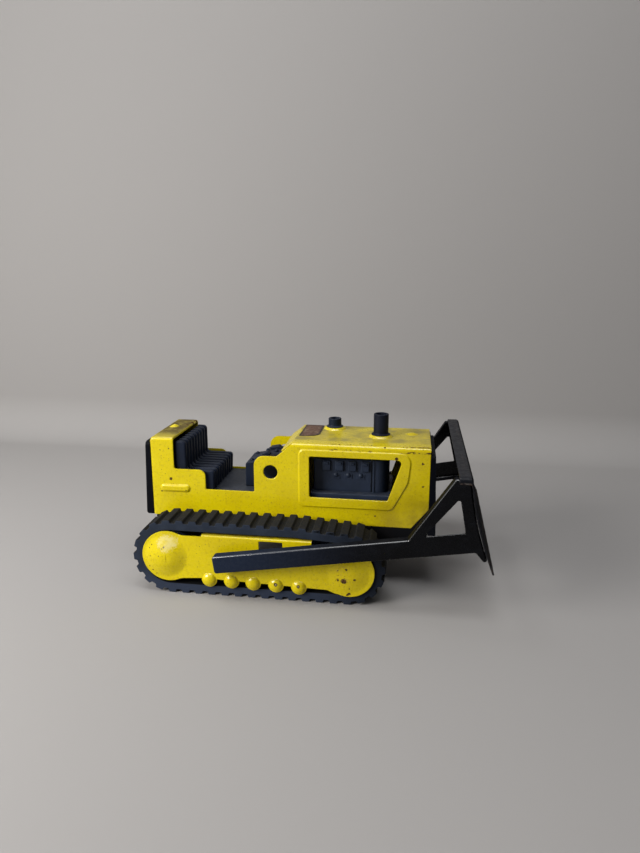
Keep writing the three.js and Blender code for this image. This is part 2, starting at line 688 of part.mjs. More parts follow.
// Taut loop round both wheels and a circle that lifts the top run over the frame's flange.
function beltPath(extra, seg) {
  const rounds = [
    { at: AXLES.rear.at, r: bandInnerR(AXLES.rear) },
    { at: [55, -6.0], r: 6.4 },
    { at: AXLES.front.at, r: bandInnerR(AXLES.front) },
  ];
  return convexHull(rounds.flatMap(({ at, r }) => circle(at, r + extra, seg, Math.PI / seg)));
}

// even steps along the band's outer face, a trapezoid lug at each
function luggedOutline() {
  const path = beltPath(BAND_T, 360);
  const next = (i) => path[(i + 1) % path.length];
  const lengths = path.map((p, i) => Math.hypot(next(i)[0] - p[0], next(i)[1] - p[1]));
  const sum = (list) => list.reduce((a, b) => a + b, 0);
  const total = sum(lengths);
  const first = path.findIndex(
    (p, i) => p[0] < FIRST_LUG_X && next(i)[0] >= FIRST_LUG_X && p[1] < -15
  );
  const start = sum(lengths.slice(0, first)) + (FIRST_LUG_X - path[first][0]);
  // point at the given distance along the path, raised off it by height
  const pointAt = (distance, height) => {
    let rest = (((start + distance) % total) + total) % total;
    let i = 0;
    while (rest > lengths[i]) rest -= lengths[i++];
    const [a, b] = [path[i], next(i)];
    const along = [(b[0] - a[0]) / lengths[i], (b[1] - a[1]) / lengths[i]];
    return [
      a[0] + along[0] * rest + along[1] * height,
      a[1] + along[1] * rest - along[0] * height,
    ];
  };
  const pitch = total / LUG.count;
  const out = [];
  for (let k = 0; k < LUG.count; k++) {
    const middle = k * pitch;
    out.push(
      pointAt(middle - LUG.footHalf, 0),
      pointAt(middle - LUG.faceHalf, LUG_H),
      pointAt(middle + LUG.faceHalf, LUG_H),
      pointAt(middle + LUG.footHalf, 0),
      pointAt(middle + pitch / 2, 0)
    );
  }
  // level the lug faces that all but touch the ground
  return out.map(([x, z]) => [x, Math.abs(z - Z_GROUND) < 0.02 ? Z_GROUND : z]);
}

function addTracks() {
  const track = alongY(luggedOutline(), TRACK_Y, [beltPath(0, 48).reverse()]);
  addPair((side) => `track_${side}`, track, FINISHES.rubber);
}

// ---------------------------------------------------------------- side frames
// round lobes of the plate, each with a large dome pressed outward and hollow behind
const LOBES = [
  { at: [10.6, -8.9], r: 9.2, dome: { shift: -0.7, r: 7.3, h: 2.0, seg: 32, rings: 4 } },
  { at: [73.9, -10.9], r: 8.7, dome: { shift: -0.4, r: 6.4, h: 1.35, seg: 28, rings: 3 } },
];
// small domes along the plate's lower edge, [x, z]
const ROLLERS = [[25.3, -16.7], [33.2, -16.8], [40.9, -16.95], [48.9, -17.1], [56.9, -17.3]];
// plate between the lobes, [x, z, corner radius]
const PLATE_PANEL = [
  [10.6, -1.2], [14.0, -0.45, 1], [15.9, -1.0, 1], [22.9, -0.9], [22.9, -0.4],
  [61.2, -0.4], [61.2, -5.2, 1], [67, -4.0, 1], [73.9, -2.6],
  [73.9, -19.3], [69.4, -18.75, 1], [66.6, -17.6, 1], [22.6, -16.4, 1],
  [15.7, -16.9, 1], [13.2, -17.6, 1], [10.6, -17.6],
];

function addTrackFrames() {
  const slab = (points) => alongY(points, [-PLATE_OUT, -PLATE_IN]);
  const throughPlate = [-32, -29];
  let frame = fuse(
    slab(rounded(PLATE_PANEL, 3)),
    LOBES.map(({ at, r }) => slab(circle(at, r, 40))),
    ROLLERS.map((at) => slab(circle(at, 2.75, 20)))
  );
  const domes = LOBES.map(({ at: [x, z], dome: size }) => ({ ...size, at: [x + size.shift, z] }));
  for (const { at, r, h, seg, rings } of domes) {
    frame = frame.add(dome(r, h, -PLATE_OUT, at, seg, rings));
  }
  for (const at of ROLLERS) frame = frame.add(dome(2.45, 1.15, -PLATE_OUT, at, 16, 3));
  for (const { at, r, h, seg, rings } of domes) {
    frame = frame.subtract(dome(r - 0.35, h - 0.05, -PLATE_IN, at, seg / 2, rings - 1));
  }
  // window in the plate under the top bend
  frame = cut(frame, alongY([[43.1, -1.05], [51.3, -1.05], [51.3, -6.2], [43.1, -6.2]], throughPlate));
  // top flange and the tab riveted to the chassis wall
  frame = frame.add(box([22.9, 61.2], [-PLATE_OUT, -TAB_OUT], [-0.4 - SHEET, -0.4]));
  frame = frame.add(box([25, 60], [-TAB_OUT - SHEET, -TAB_OUT], [-4.9, -0.5]));
  for (const x of Object.values(FRAME_RIVETS)) {
    frame = cut(frame, rodY(RIVET_R + FIT, [-16, -14], [x, FRAME_RIVET_Z], RIVET_SEG));
  }
  frame = cut(frame, rodY(STUD_R + RUNNING, throughPlate, PIVOT, PIN_SEG));
  addPair((side) => `track_frame_${side}`, frame, FINISHES.yellowPaint);
}

function addFrameRivets() {
  const outer = -TAB_OUT - SHEET - FIT;
  const inner = -CHASSIS_HALF + SHEET + FIT;
  const profile = [
    [0, outer - 0.6], [0.9, outer - 0.55], [1.35, outer], [RIVET_R, outer],
    [RIVET_R, inner], [1.2, inner], [0.9, inner + 0.5], [0, inner + 0.5],
  ];
  for (const [end, x] of Object.entries(FRAME_RIVETS)) {
    const rivet = aboutY(profile, [x, FRAME_RIVET_Z], RIVET_SEG);
    addPair((side) => `frame_rivet_${side}_${end}`, rivet, FINISHES.dullSteel);
  }
}

// ---------------------------------------------------------------- blade
const BLADE_HALF = 38;
const BLADE_TOP = 27.2;
const BLADE_LOW = -4.2;
const BLADE_T = 0.6;
// front face: x = topX + slope * drop + curve * drop^2, drop measured down from BLADE_TOP
const BLADE_FACE = { topX: 112.15, slope: 0.1066, curve: 0.004853 };

// [x, z] points from z0 to z1 along the front face, offset behind it
function bladeLine(offset, z0, z1, steps) {
  const { topX, slope, curve } = BLADE_FACE;
  return Array.from({ length: steps + 1 }, (_, i) => {
    const z = z0 + ((z1 - z0) * i) / steps;
    const drop = BLADE_TOP - z;
    const faceX = topX + slope * drop + curve * drop * drop;
    const lean = slope + 2 * curve * drop;
    const k = Math.hypot(1, lean);
    return [faceX - offset / k, z - (offset * lean) / k];
  });
}

function addMoldboard() {
  const flangeBack = 107.9;
  const flangeLow = BLADE_TOP - BLADE_T;
  const outline = [
    ...bladeLine(0, BLADE_TOP - 0.5, BLADE_LOW, 14),
    ...bladeLine(BLADE_T, BLADE_LOW + 0.15, BLADE_TOP - 0.5, 14),
    [111.55, flangeLow], [flangeBack, flangeLow], [flangeBack, BLADE_TOP], [111.8, BLADE_TOP],
  ];
  const moldboard = alongY(outline, [-BLADE_HALF, BLADE_HALF]);
  add("blade_moldboard", moldboard, FINISHES.bladePaint, "blade");
}

// ---------------------------------------------------------------- push arms
const ARM_FLANGE = 3.3;
const ARM_FLARE = 0.0313; // outward run per unit forward
// [x, z, corner radius]; the two ends only steer the rounding, the blade line joins them
const ARM_TOP = [108.2, 26.5];
const ARM_EDGE = [
  ARM_TOP, [106.9, 26.5, 0.9], [93.1, 5.15, 0.8], [27.7, -5.95, 1.2],
  [28.6, -12.15, 0.9], [114.2, 2.5, 0.8], [117.2, -0.6],
];
const ARM_OPENING = [[108.6, 20.3, 0.6], [110.75, 8.95, 0.5], [97.9, 6.75, 0.5]];

// lean an arm outwards (-Y) in proportion to its distance ahead of the pivot
function flared(manifold) {
  const geometry = geometryOf(manifold);
  const p = geometry.attributes.position;
  for (let i = 0; i < p.count; i++) {
    p.setY(i, p.getY(i) - ARM_FLARE * (p.getX(i) - toX(PIVOT[0])));
  }
  return solid(geometry);
}

function addPushArms() {
  const outline = [
    ...rounded(ARM_EDGE).slice(1, -1),
    ...bladeLine(BLADE_T + FIT + 0.02, -1.35, 26.2, 12),
    ARM_TOP,
  ];
  const web = alongY(outline, [-ARM_Y, -ARM_Y + SHEET], [rounded(ARM_OPENING)]);
  const rimOuter = alongY(outline, [-ARM_Y + 0.1, -ARM_Y + ARM_FLANGE]);
  const rimInner = alongY(inset(outline, SHEET), [-ARM_Y, -ARM_Y + ARM_FLANGE + 1]);
  const arm = flared(web.add(rimOuter.subtract(rimInner)));
  addPair((side) => `push_arm_${side}`, arm, FINISHES.armPaint, () => "blade");
}

// shouldered studs inside the arms, through the side plates, with push nuts behind
function addArmPivots() {
  const head = -ARM_Y + SHEET + 0.12;
  const shoulder = -PLATE_OUT - 0.08;
  const profile = [
    [0, head], [2.2, head], [2.2, head + 0.4], [1.75, head + 0.6], [1.75, shoulder],
    [STUD_R, shoulder], [STUD_R, -28.3], [STUD_R - 0.25, -28.05], [0, -28.05],
  ];
  const stud = aboutY(profile, PIVOT, PIN_SEG);
  const nut = pushNut(STUD_R + FIT, 2.4, [-29.5, -28.9], PIVOT);
  addPair((side) => `arm_pivot_stud_${side}`, stud, FINISHES.dullSteel, () => "blade");
  addPair((side) => `arm_push_nut_${side}`, nut, FINISHES.dullSteel, () => "blade");
}

// ---------------------------------------------------------------- assembly
addBodyShell();
addHoodLabel();
addChassis();
addBodyRivets();
addRearPanel();
addGrille();
addCockpitFloor();
addSeat();
addDashConsole();
addEngine();
addStub("exhaust_stack", STACK, 37.7, 7.5);
addStub("air_cleaner", CLEANER, 33.3, 3.0);
for (const [end, axle] of Object.entries(AXLES)) addAxle(end, axle);
for (const [end, axle] of Object.entries(AXLES)) addWheels(end, axle);
addTracks();
addTrackFrames();
addFrameRivets();
addMoldboard();
addPushArms();
addArmPivots();

export default root;
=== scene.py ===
"""A pressed-steel toy bulldozer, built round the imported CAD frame.

X runs from the rear of the machine forward to the blade, Y from its right side (negative) to its
left, Z up from the floor. Sizes are in layout divisions (the body shell is 100 long) unless said
to be mm or metres; place() and metres() turn division positions into the metre frame.
"""
import math
from functools import cached_property

import bmesh
import bpy
import numpy as np
from mathutils import Matrix, Vector
from mathutils.geometry import delaunay_2d_cdt


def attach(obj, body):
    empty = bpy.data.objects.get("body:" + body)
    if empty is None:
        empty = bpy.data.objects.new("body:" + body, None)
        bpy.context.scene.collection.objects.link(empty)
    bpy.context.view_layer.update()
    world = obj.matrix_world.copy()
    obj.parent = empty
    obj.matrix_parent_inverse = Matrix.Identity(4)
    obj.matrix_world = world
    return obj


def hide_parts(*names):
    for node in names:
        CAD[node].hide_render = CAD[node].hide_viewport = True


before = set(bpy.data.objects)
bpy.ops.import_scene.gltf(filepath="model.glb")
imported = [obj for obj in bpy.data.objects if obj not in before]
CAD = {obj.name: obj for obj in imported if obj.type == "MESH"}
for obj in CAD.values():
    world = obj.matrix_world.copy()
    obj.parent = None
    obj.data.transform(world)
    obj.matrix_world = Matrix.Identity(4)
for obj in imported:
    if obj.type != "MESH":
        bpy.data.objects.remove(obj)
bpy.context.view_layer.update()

# ------------------------------------------------------------------ layout
DIVISION = 1.12e-3  # metres
DIVISION_MM = DIVISION * 1000.0
X_MID, Z_GROUND = 58.7, -23.05  # the division position of the metre origin

SHEET = 0.5  # thickness of the pressed sheet
EDGE_R = 0.14  # rounding of raw sheet edges
BODY_HALF = 14.45
BEND = 1.3  # radius of the bends along the top of the body
FLAT_HALF = BODY_HALF - BEND
BOX_TOP, BOX_FRONT = 29.6, 8.5
HOOD_TOP, HOOD_REAR, HOOD_FRONT = 29.25, 52.3, 100.0
REAR_AXLE, FRONT_AXLE = (11.2, -9.5), (73.4, -10.2)  # x, z
PLATE_OUT = 30.2  # outer face of the track frames
PIVOT = (32.4, -8.3)  # x, z
ARM_Y, ARM_FLARE, ARM_FLANGE = 35.1, 0.0313, 3.3
BLADE_HALF, BLADE_TOP, BLADE_LOW, BLADE_THICK = 38.0, 27.2, -4.2, 0.6
STACK, CLEANER = (82.2, 0.0, 2.7), (64.3, 9.4, 2.45)  # x, y, radius


def place(x, y, z):
    return Vector(((x - X_MID) * DIVISION, y * DIVISION, (z - Z_GROUND) * DIVISION))


def metres(points):
    x, y, z = np.asarray(points, float).T
    return np.stack([(x - X_MID) * DIVISION, y * DIVISION, (z - Z_GROUND) * DIVISION], 1)


# ------------------------------------------------------------------ 2-D helpers
def unit(x, y):
    length = math.hypot(x, y)
    return x / length, y / length


def rounded(corners, steps=8):
    """closed outline of (x, y) or (x, y, radius) corners, each radius drawn as an arc"""
    out = []
    for i, (x, y, *radius) in enumerate(corners):
        if not radius:
            out.append((x, y))
            continue
        before, after = corners[i - 1], corners[(i + 1) % len(corners)]
        back_x, back_y = unit(before[0] - x, before[1] - y)
        on_x, on_y = unit(after[0] - x, after[1] - y)
        half = math.acos(max(-1, min(1, back_x * on_x + back_y * on_y))) / 2
        run = radius[0] / math.tan(half)
        mid_x, mid_y = unit(back_x + on_x, back_y + on_y)
        centre_x = x + mid_x * radius[0] / math.sin(half)
        centre_y = y + mid_y * radius[0] / math.sin(half)
        start = math.atan2(y + back_y * run - centre_y, x + back_x * run - centre_x)
        end = math.atan2(y + on_y * run - centre_y, x + on_x * run - centre_x)
        while end - start > math.pi:
            end -= 2 * math.pi
        while end - start < -math.pi:
            end += 2 * math.pi
        for k in range(steps + 1):
            angle = start + (end - start) * k / steps
            out.append((
                centre_x + radius[0] * math.cos(angle),
                centre_y + radius[0] * math.sin(angle),
            ))
    return out


def circle(x, y, radius, steps=48, turn=0.0):
    angles = [turn + 2 * math.pi * i / steps for i in range(steps)]
    return [(x + radius * math.cos(a), y + radius * math.sin(a)) for a in angles]


def area(outline):
    here = np.asarray(outline, float)
    after = np.roll(here, -1, 0)
    return 0.5 * float((here[:, 0] * after[:, 1] - after[:, 0] * here[:, 1]).sum())


def inset(outline, distance):
    """every corner of a closed outline moved inward by distance (outward when negative)"""
    points = np.asarray(outline, float)
    sign = 1 if area(outline) > 0 else -1
    normals = []
    for edge in (points - np.roll(points, 1, 0), np.roll(points, -1, 0) - points):
        edge /= np.linalg.norm(edge, axis=1)[:, None]
        normals.append(np.stack([-edge[:, 1], edge[:, 0]], 1) * sign)
    spread = 1 + (normals[0] * normals[1]).sum(1)
    move = (normals[0] + normals[1]) / np.maximum(spread, 0.15)[:, None] * distance
    return [tuple(p) for p in points + move]


def resample(points, step, closed=True):
    out, count = [], len(points)
    for i in range(count if closed else count - 1):
        a, b = points[i], points[(i + 1) % count]
        parts = max(1, int(math.ceil(math.hypot(b[0] - a[0], b[1] - a[1]) / step)))
        for k in range(parts):
            out.append((a[0] + (b[0] - a[0]) * k / parts, a[1] + (b[1] - a[1]) * k / parts))
    if not closed:
        out.append(tuple(points[-1]))
    return out


def depth_in(points, outline):
    """signed distance of each point to a closed outline, positive inside"""
    points = np.asarray(points, float)
    start = np.asarray(outline, float)
    end = np.roll(start, -1, 0)
    edge = (end - start)[None]
    start_y, end_y = start[None, :, 1], end[None, :, 1]
    rise = np.where(np.abs(end_y - start_y) < 1e-12, 1.0, end_y - start_y)
    out = np.empty(len(points))
    for first in range(0, len(points), 2000):
        part = points[first : first + 2000, None, :]
        away = part - start[None]
        along = (away * edge).sum(-1) / np.maximum((edge * edge).sum(-1), 1e-12)
        gap = away - edge * np.clip(along, 0, 1)[..., None]
        distance = np.sqrt((gap**2).sum(-1)).min(1)
        level = part[..., 1]
        spans = (start_y > level) != (end_y > level)
        crossing = start[None, :, 0] + (level - start_y) / rise * edge[..., 0]
        inside = (spans & (part[..., 0] < crossing)).sum(1) % 2 == 1
        out[first : first + 2000] = np.where(inside, distance, -distance)
    return out


def smoothstep(x):
    x = np.clip(x, 0, 1)
    return x * x * (3 - 2 * x)


def quarter(distance, radius):
    """how far a rounded edge has dropped at a distance from the edge"""
    run = np.clip(radius - np.asarray(distance, float), 0, radius)
    return radius - np.sqrt(np.maximum(radius * radius - run * run, 0))


def bend_steps(radius, steps):
    """distances from the edge that divide a quarter bend into equal angles"""
    return [radius * (1 - math.cos(math.pi / 2 * k / steps)) for k in range(1, steps)] + [radius]


def hull(points):
    points = sorted(set(points))

    def half(sequence):
        out = []
        for x, y in sequence:
            while len(out) > 1:
                (x0, y0), (x1, y1) = out[-2:]
                if (x1 - x0) * (y - y0) - (y1 - y0) * (x - x0) > 1e-9:
                    break
                out.pop()
            out.append((x, y))
        return out[:-1]

    return half(points) + half(points[::-1])


def grid(first, second):
    return np.array([(a, b) for a in first for b in second])


def triangulate(loops, keep, lines=(), points=()):
    """points and triangles between closed loops, where keep(triangle centres) is true"""
    verts, edges = [], []
    for loop in loops:
        first, count = len(verts), len(loop)
        verts += [Vector((p[0], p[1])) for p in loop]
        edges += [(first + i, first + (i + 1) % count) for i in range(count)]
    for line in lines:
        first = len(verts)
        verts += [Vector((p[0], p[1])) for p in line]
        edges += [(first + i, first + i + 1) for i in range(len(line) - 1)]
    verts += [Vector((p[0], p[1])) for p in points]
    verts, _, faces, _, _, _ = delaunay_2d_cdt(verts, edges, [], 0, 1e-4)
    verts = np.array([[p[0], p[1]] for p in verts])
    faces = np.array([f for f in faces if len(f) == 3])
    a, b, c = verts[faces[:, 0]], verts[faces[:, 1]], verts[faces[:, 2]]
    size = (b[:, 0] - a[:, 0]) * (c[:, 1] - a[:, 1]) - (b[:, 1] - a[:, 1]) * (c[:, 0] - a[:, 0])
    faces = faces[size > 1e-9]
    return verts, faces[keep(verts[faces].mean(1))]


# ------------------------------------------------------------------ mesh helpers
COLLECTION = bpy.context.scene.collection


def add_object(name, data):
    part = bpy.data.objects.new(name, data)
    COLLECTION.objects.link(part)
    return part


def shade(mesh, degrees):
    mesh.polygons.foreach_set("use_smooth", [True] * len(mesh.polygons))
    mesh.set_sharp_from_angle(angle=math.radians(degrees))


def weighted_normals(part, weight=60):
    modifier = part.modifiers.new("weighted_normals", "WEIGHTED_NORMAL")
    modifier.keep_sharp = True
    modifier.weight = weight


def add_mesh(name, points, faces):
    """mesh object from division positions, welded and facing outward"""
    mesh = bpy.data.meshes.new(name)
    faces = [tuple(int(i) for i in f) for f in faces]
    mesh.from_pydata([tuple(p) for p in metres(points)], [], faces)
    mesh.validate(clean_customdata=False)
    mesh.update()
    edit = bmesh.new()
    edit.from_mesh(mesh)
    bmesh.ops.remove_doubles(edit, verts=edit.verts, dist=1e-7)
    bmesh.ops.recalc_face_normals(edit, faces=edit.faces)
    edit.to_mesh(mesh)
    edit.free()
    shade(mesh, 38)
    part = add_object(name, mesh)
    weighted_normals(part)
    return part


def sheet(name, panels):
    """panels of (front points, back points, triangles): seams welded, open edges closed"""
    fronts, backs, triangles, count = [], [], [], 0
    for front, back, faces in panels:
        fronts.append(front)
        backs.append(back)
        triangles.append(np.asarray(faces) + count)
        count += len(front)
    front, back, tri = (np.concatenate(a) for a in (fronts, backs, triangles))
    seen = {}
    weld = np.empty(len(front), int)
    for i, point in enumerate(np.round(front, 3)):
        weld[i] = seen.setdefault(tuple(point), i)
    tri = weld[tri]
    a, b, c = tri.T
    tri = tri[(a != b) & (b != c) & (a != c)]
    used = np.unique(tri)
    renumber = np.full(len(front), -1)
    renumber[used] = np.arange(len(used))
    front, back, tri = front[used], back[used], renumber[tri]
    shift = len(front)
    directed = set()
    for a, b, c in tri:
        directed.update(((a, b), (b, c), (c, a)))
    faces = [tuple(t) for t in tri]
    faces += [(c + shift, b + shift, a + shift) for a, b, c in tri]
    faces += [(b, a, a + shift, b + shift) for a, b in directed if (b, a) not in directed]
    return add_mesh(name, np.concatenate([front, back]), faces)


def loft(name, loops):
    """skin over equal-length 3-D loops, capped at both ends"""
    count, last = len(loops[0]), len(loops) - 1
    faces = []
    for j in range(last):
        for i in range(count):
            a, b = j * count + i, j * count + (i + 1) % count
            faces.append((a, b, b + count, a + count))
    faces += [tuple(range(count))[::-1], tuple(last * count + i for i in range(count))]
    return add_mesh(name, np.concatenate([np.asarray(loop, float) for loop in loops]), faces)


def panel(name, outline, rim, hole, hole_rim, position):
    """A flat pressing with one hole. rim lists (inset, depth) rings from the border of the front
    face round to that of the back face; hole_rim does so round the hole, its insets standing
    outside the hole. position(u, v, depth) gives division positions."""
    verts, faces, borders = [], [], []
    for base, rings, sign in ((outline, rim, 1), (hole, hole_rim, -1)):
        if area(base) < 0:
            base = base[::-1]
        count, starts = len(base), []
        for distance, depth in rings:
            starts.append(len(verts))
            ring = inset(base, distance * sign) if distance else base
            verts.extend([(p[0], p[1], depth) for p in ring])
        for start, after in zip(starts, starts[1:]):
            for i in range(count):
                k = (i + 1) % count
                a, b, c, d = start + i, start + k, after + i, after + k
                faces.append((b, a, c, d) if sign > 0 else (a, b, d, c))
        borders.append((starts[0], starts[-1], count))
    for side in (0, 1):
        numbers, edges, points, rings = [], [], [], []
        for border in borders:
            count, first = border[2], len(points)
            ring = range(border[side], border[side] + count)
            numbers += ring
            points += [Vector(verts[i][:2]) for i in ring]
            edges += [(first + i, first + (i + 1) % count) for i in range(count)]
            rings.append([verts[i][:2] for i in range(border[side], border[side] + count)])
        flat, _, tri, origin, _, _ = delaunay_2d_cdt(points, edges, [], 0, 1e-5)
        flat = np.array([[p[0], p[1]] for p in flat])
        tri = np.array([t for t in tri if len(t) == 3])
        middle = flat[tri].mean(1)
        for t in tri[(depth_in(middle, rings[0]) > 0) & (depth_in(middle, rings[1]) < 0)]:
            face = tuple(numbers[origin[i][0]] for i in t)
            if len(set(face)) == 3:
                faces.append(face if side == 0 else face[::-1])
    return add_mesh(name, [position(*p) for p in verts], faces)


def lathe(name, profile, centre, axis, steps):
    """(radius, height) profile, closed by its ends on the axis or by itself, turned about a
    Z line through (x, y) or a Y line through (x, z)"""
    closed = profile[0] == profile[-1]
    points, faces, rows = [], [], []
    for radius, height in profile[:-1] if closed else profile:
        if radius < 1e-6:
            rows.append([len(points)] * steps)
            points.append((0, 0, height))
        else:
            rows.append([len(points) + i for i in range(steps)])
            points += [(a, b, height) for a, b in circle(0, 0, radius, steps)]
    for row, after in zip(rows, rows[1:] + (rows[:1] if closed else [])):
        for i in range(steps):
            k = (i + 1) % steps
            face = list(dict.fromkeys([row[i], row[k], after[k], after[i]]))
            if len(face) > 2:
                faces.append(face if axis == "Z" else face[::-1])
    if axis == "Z":
        points = [(centre[0] + a, centre[1] + b, h) for a, b, h in points]
    else:
        points = [(centre[0] + a, h, centre[1] + b) for a, b, h in points]
    return add_mesh(name, points, faces)


def mirrored(part, name):
    mesh = part.data.copy()
    mesh.transform(Matrix.Diagonal((1, -1, 1, 1)))
    mesh.flip_normals()
    copy = add_object(name, mesh)
    weighted_normals(copy)
    return copy


def dress(part, material, body, node):
    part.data.materials.clear()
    part.data.materials.append(material)
    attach(part, body)
    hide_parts(node)


def dress_pair(right, material, body, node, adjust_left=None):
    """mirror a right-hand part to the left and dress both"""
    left = mirrored(right, right.name.replace("right", "left"))
    if adjust_left:
        adjust_left(left)
    dress(right, material, body, node)
    dress(left, material, body.replace("right", "left"), node.replace("right", "left"))


# ------------------------------------------------------------------ material helpers
class Field:
    """a shader value or colour; arithmetic on it adds Math nodes"""

    def __init__(self, mat, socket):
        self.mat, self.socket = mat, socket

    def __add__(self, other):
        return self.mat.math("ADD", self, other)

    def __sub__(self, other):
        return self.mat.math("SUBTRACT", self, other)

    def __rsub__(self, other):
        return self.mat.math("SUBTRACT", other, self)

    def __mul__(self, other):
        return self.mat.math("MULTIPLY", self, other)

    def __abs__(self):
        return self.mat.math("ABSOLUTE", self)

    def max(self, other):
        return self.mat.math("MAXIMUM", self, other)

    def rise(self, low, high, to=(0.0, 1.0)):
        """smooth step from to[0] at low to to[1] at high"""
        inputs = {
            "Value": self, "From Min": low, "From Max": high, "To Min": to[0], "To Max": to[1],
        }
        return self.mat.field(
            "Result", "ShaderNodeMapRange", inputs, interpolation_type="SMOOTHSTEP"
        )

    def fall(self, low, high):
        return self.rise(low, high, to=(1.0, 0.0))


class Mat:
    """Node material being built. Positions and lengths are in mm of the metre frame, texture
    scales per mm; color is the base colour so far."""

    def __init__(self, name):
        self.material = bpy.data.materials.new(name)
        self.material.use_nodes = True
        self.tree = self.material.node_tree
        self.tree.nodes.clear()
        coords = self.field("Object", "ShaderNodeTexCoord", {})
        self.coords = self.vector(0, "SCALE", {0: coords, "Scale": 1000.0})

    def node(self, kind, inputs, **props):
        node = self.tree.nodes.new(kind)
        for key, value in props.items():
            setattr(node, key, value)
        for key, value in inputs.items():
            if isinstance(value, Field):
                self.tree.links.new(value.socket, node.inputs[key])
            else:
                node.inputs[key].default_value = value
        return node

    def field(self, output, kind, inputs, **props):
        return Field(self, self.node(kind, inputs, **props).outputs[output])

    def math(self, operation, a, b=0.0):
        return self.field(0, "ShaderNodeMath", {0: a, 1: b}, operation=operation)

    def vector(self, output, operation, inputs):
        return self.field(output, "ShaderNodeVectorMath", inputs, operation=operation)

    def parts(self, vector):
        node = self.node("ShaderNodeSeparateXYZ", {0: vector})
        return [Field(self, socket) for socket in node.outputs]

    @cached_property
    def normal(self):
        return self.field("Normal", "ShaderNodeNewGeometry", {})

    def position(self):
        return self.parts(self.coords)

    def facing(self):
        return self.parts(self.normal)

    def up(self):
        return self.facing()[2]

    def noise(self, scale, detail=3.0, rough=0.55, stretch=None):
        coords = self.coords
        if stretch:
            coords = self.vector(0, "MULTIPLY", {0: coords, 1: stretch})
        inputs = {"Vector": coords, "Scale": scale, "Detail": detail, "Roughness": rough}
        return self.field("Fac", "ShaderNodeTexNoise", inputs)

    def cells(self, scale):
        """distance to the nearest cell point, and a random value for its cell"""
        inputs = {"Vector": self.coords, "Scale": scale}
        cells = self.node("ShaderNodeTexVoronoi", inputs)
        color = Field(self, cells.outputs["Color"])
        pick = self.field(0, "ShaderNodeSeparateColor", {0: color})
        return Field(self, cells.outputs["Distance"]), pick

    def mix(self, mask, a, b):
        a, b = (c if isinstance(c, Field) else (*c, 1.0) for c in (a, b))
        return self.field(2, "ShaderNodeMix", {"Factor": mask, 6: a, 7: b}, data_type="RGBA")

    def paint(self, mask, color):
        self.color = self.mix(mask, self.color, color)

    def lerp(self, mask, a, b):
        """a where the mask is 0, b where it is 1"""
        return self.field(0, "ShaderNodeMix", {"Factor": mask, 2: a, 3: b}, data_type="FLOAT")

    def edge(self, radius):
        """above 0 near hard edges"""
        bevel = self.field(0, "ShaderNodeBevel", {"Radius": radius / 1000.0}, samples=6)
        return 1.0 - self.vector("Value", "DOT_PRODUCT", {0: bevel, 1: self.normal})

    def cavity(self, reach):
        inputs = {"Distance": reach / 1000.0}
        return 1.0 - self.field("AO", "ShaderNodeAmbientOcclusion", inputs, samples=8)

    def distance(self, x, y, z):
        """mm from a division position"""
        return self.vector("Value", "DISTANCE", {0: self.coords, 1: place(x, y, z) * 1000.0})

    def spots(self, places, ragged=1.8):
        """1 inside small ragged spots; places are (x, y, z, radius) in divisions"""
        wobble = self.noise(1.9, rough=0.5)
        total = None
        for x, y, z, size in places:
            radius = size * DIVISION_MM
            away = self.distance(x, y, z) + (wobble - 0.5) * (radius * ragged)
            spot = away.fall(radius * 0.75, radius * 1.05)
            total = spot if total is None else total.max(spot)
        return total

    def bump(self, height, depth, strength=1.0, over=None):
        inputs = {"Strength": strength, "Distance": depth / 1000.0, "Height": height}
        if over is not None:
            inputs["Normal"] = over
        return self.field(0, "ShaderNodeBump", inputs)

    def bend(self):
        """1 where the surface is turning between facing up and facing sideways"""
        _, y, z = self.facing()
        return z.rise(0.30, 0.60) * abs(y).rise(0.25, 0.5)

    def finish(self, rough, normal, metallic=0.0, coat=0.0, coat_rough=0.15, spec=0.5):
        inputs = {
            "Base Color": self.color, "Roughness": rough, "Metallic": metallic,
            "Normal": normal, "Coat Weight": coat, "Coat Roughness": coat_rough,
            "Coat IOR": 1.6, "Specular IOR Level": spec,
        }
        shader = self.field(0, "ShaderNodeBsdfPrincipled", inputs)
        self.node("ShaderNodeOutputMaterial", {0: shader})
        return self.material


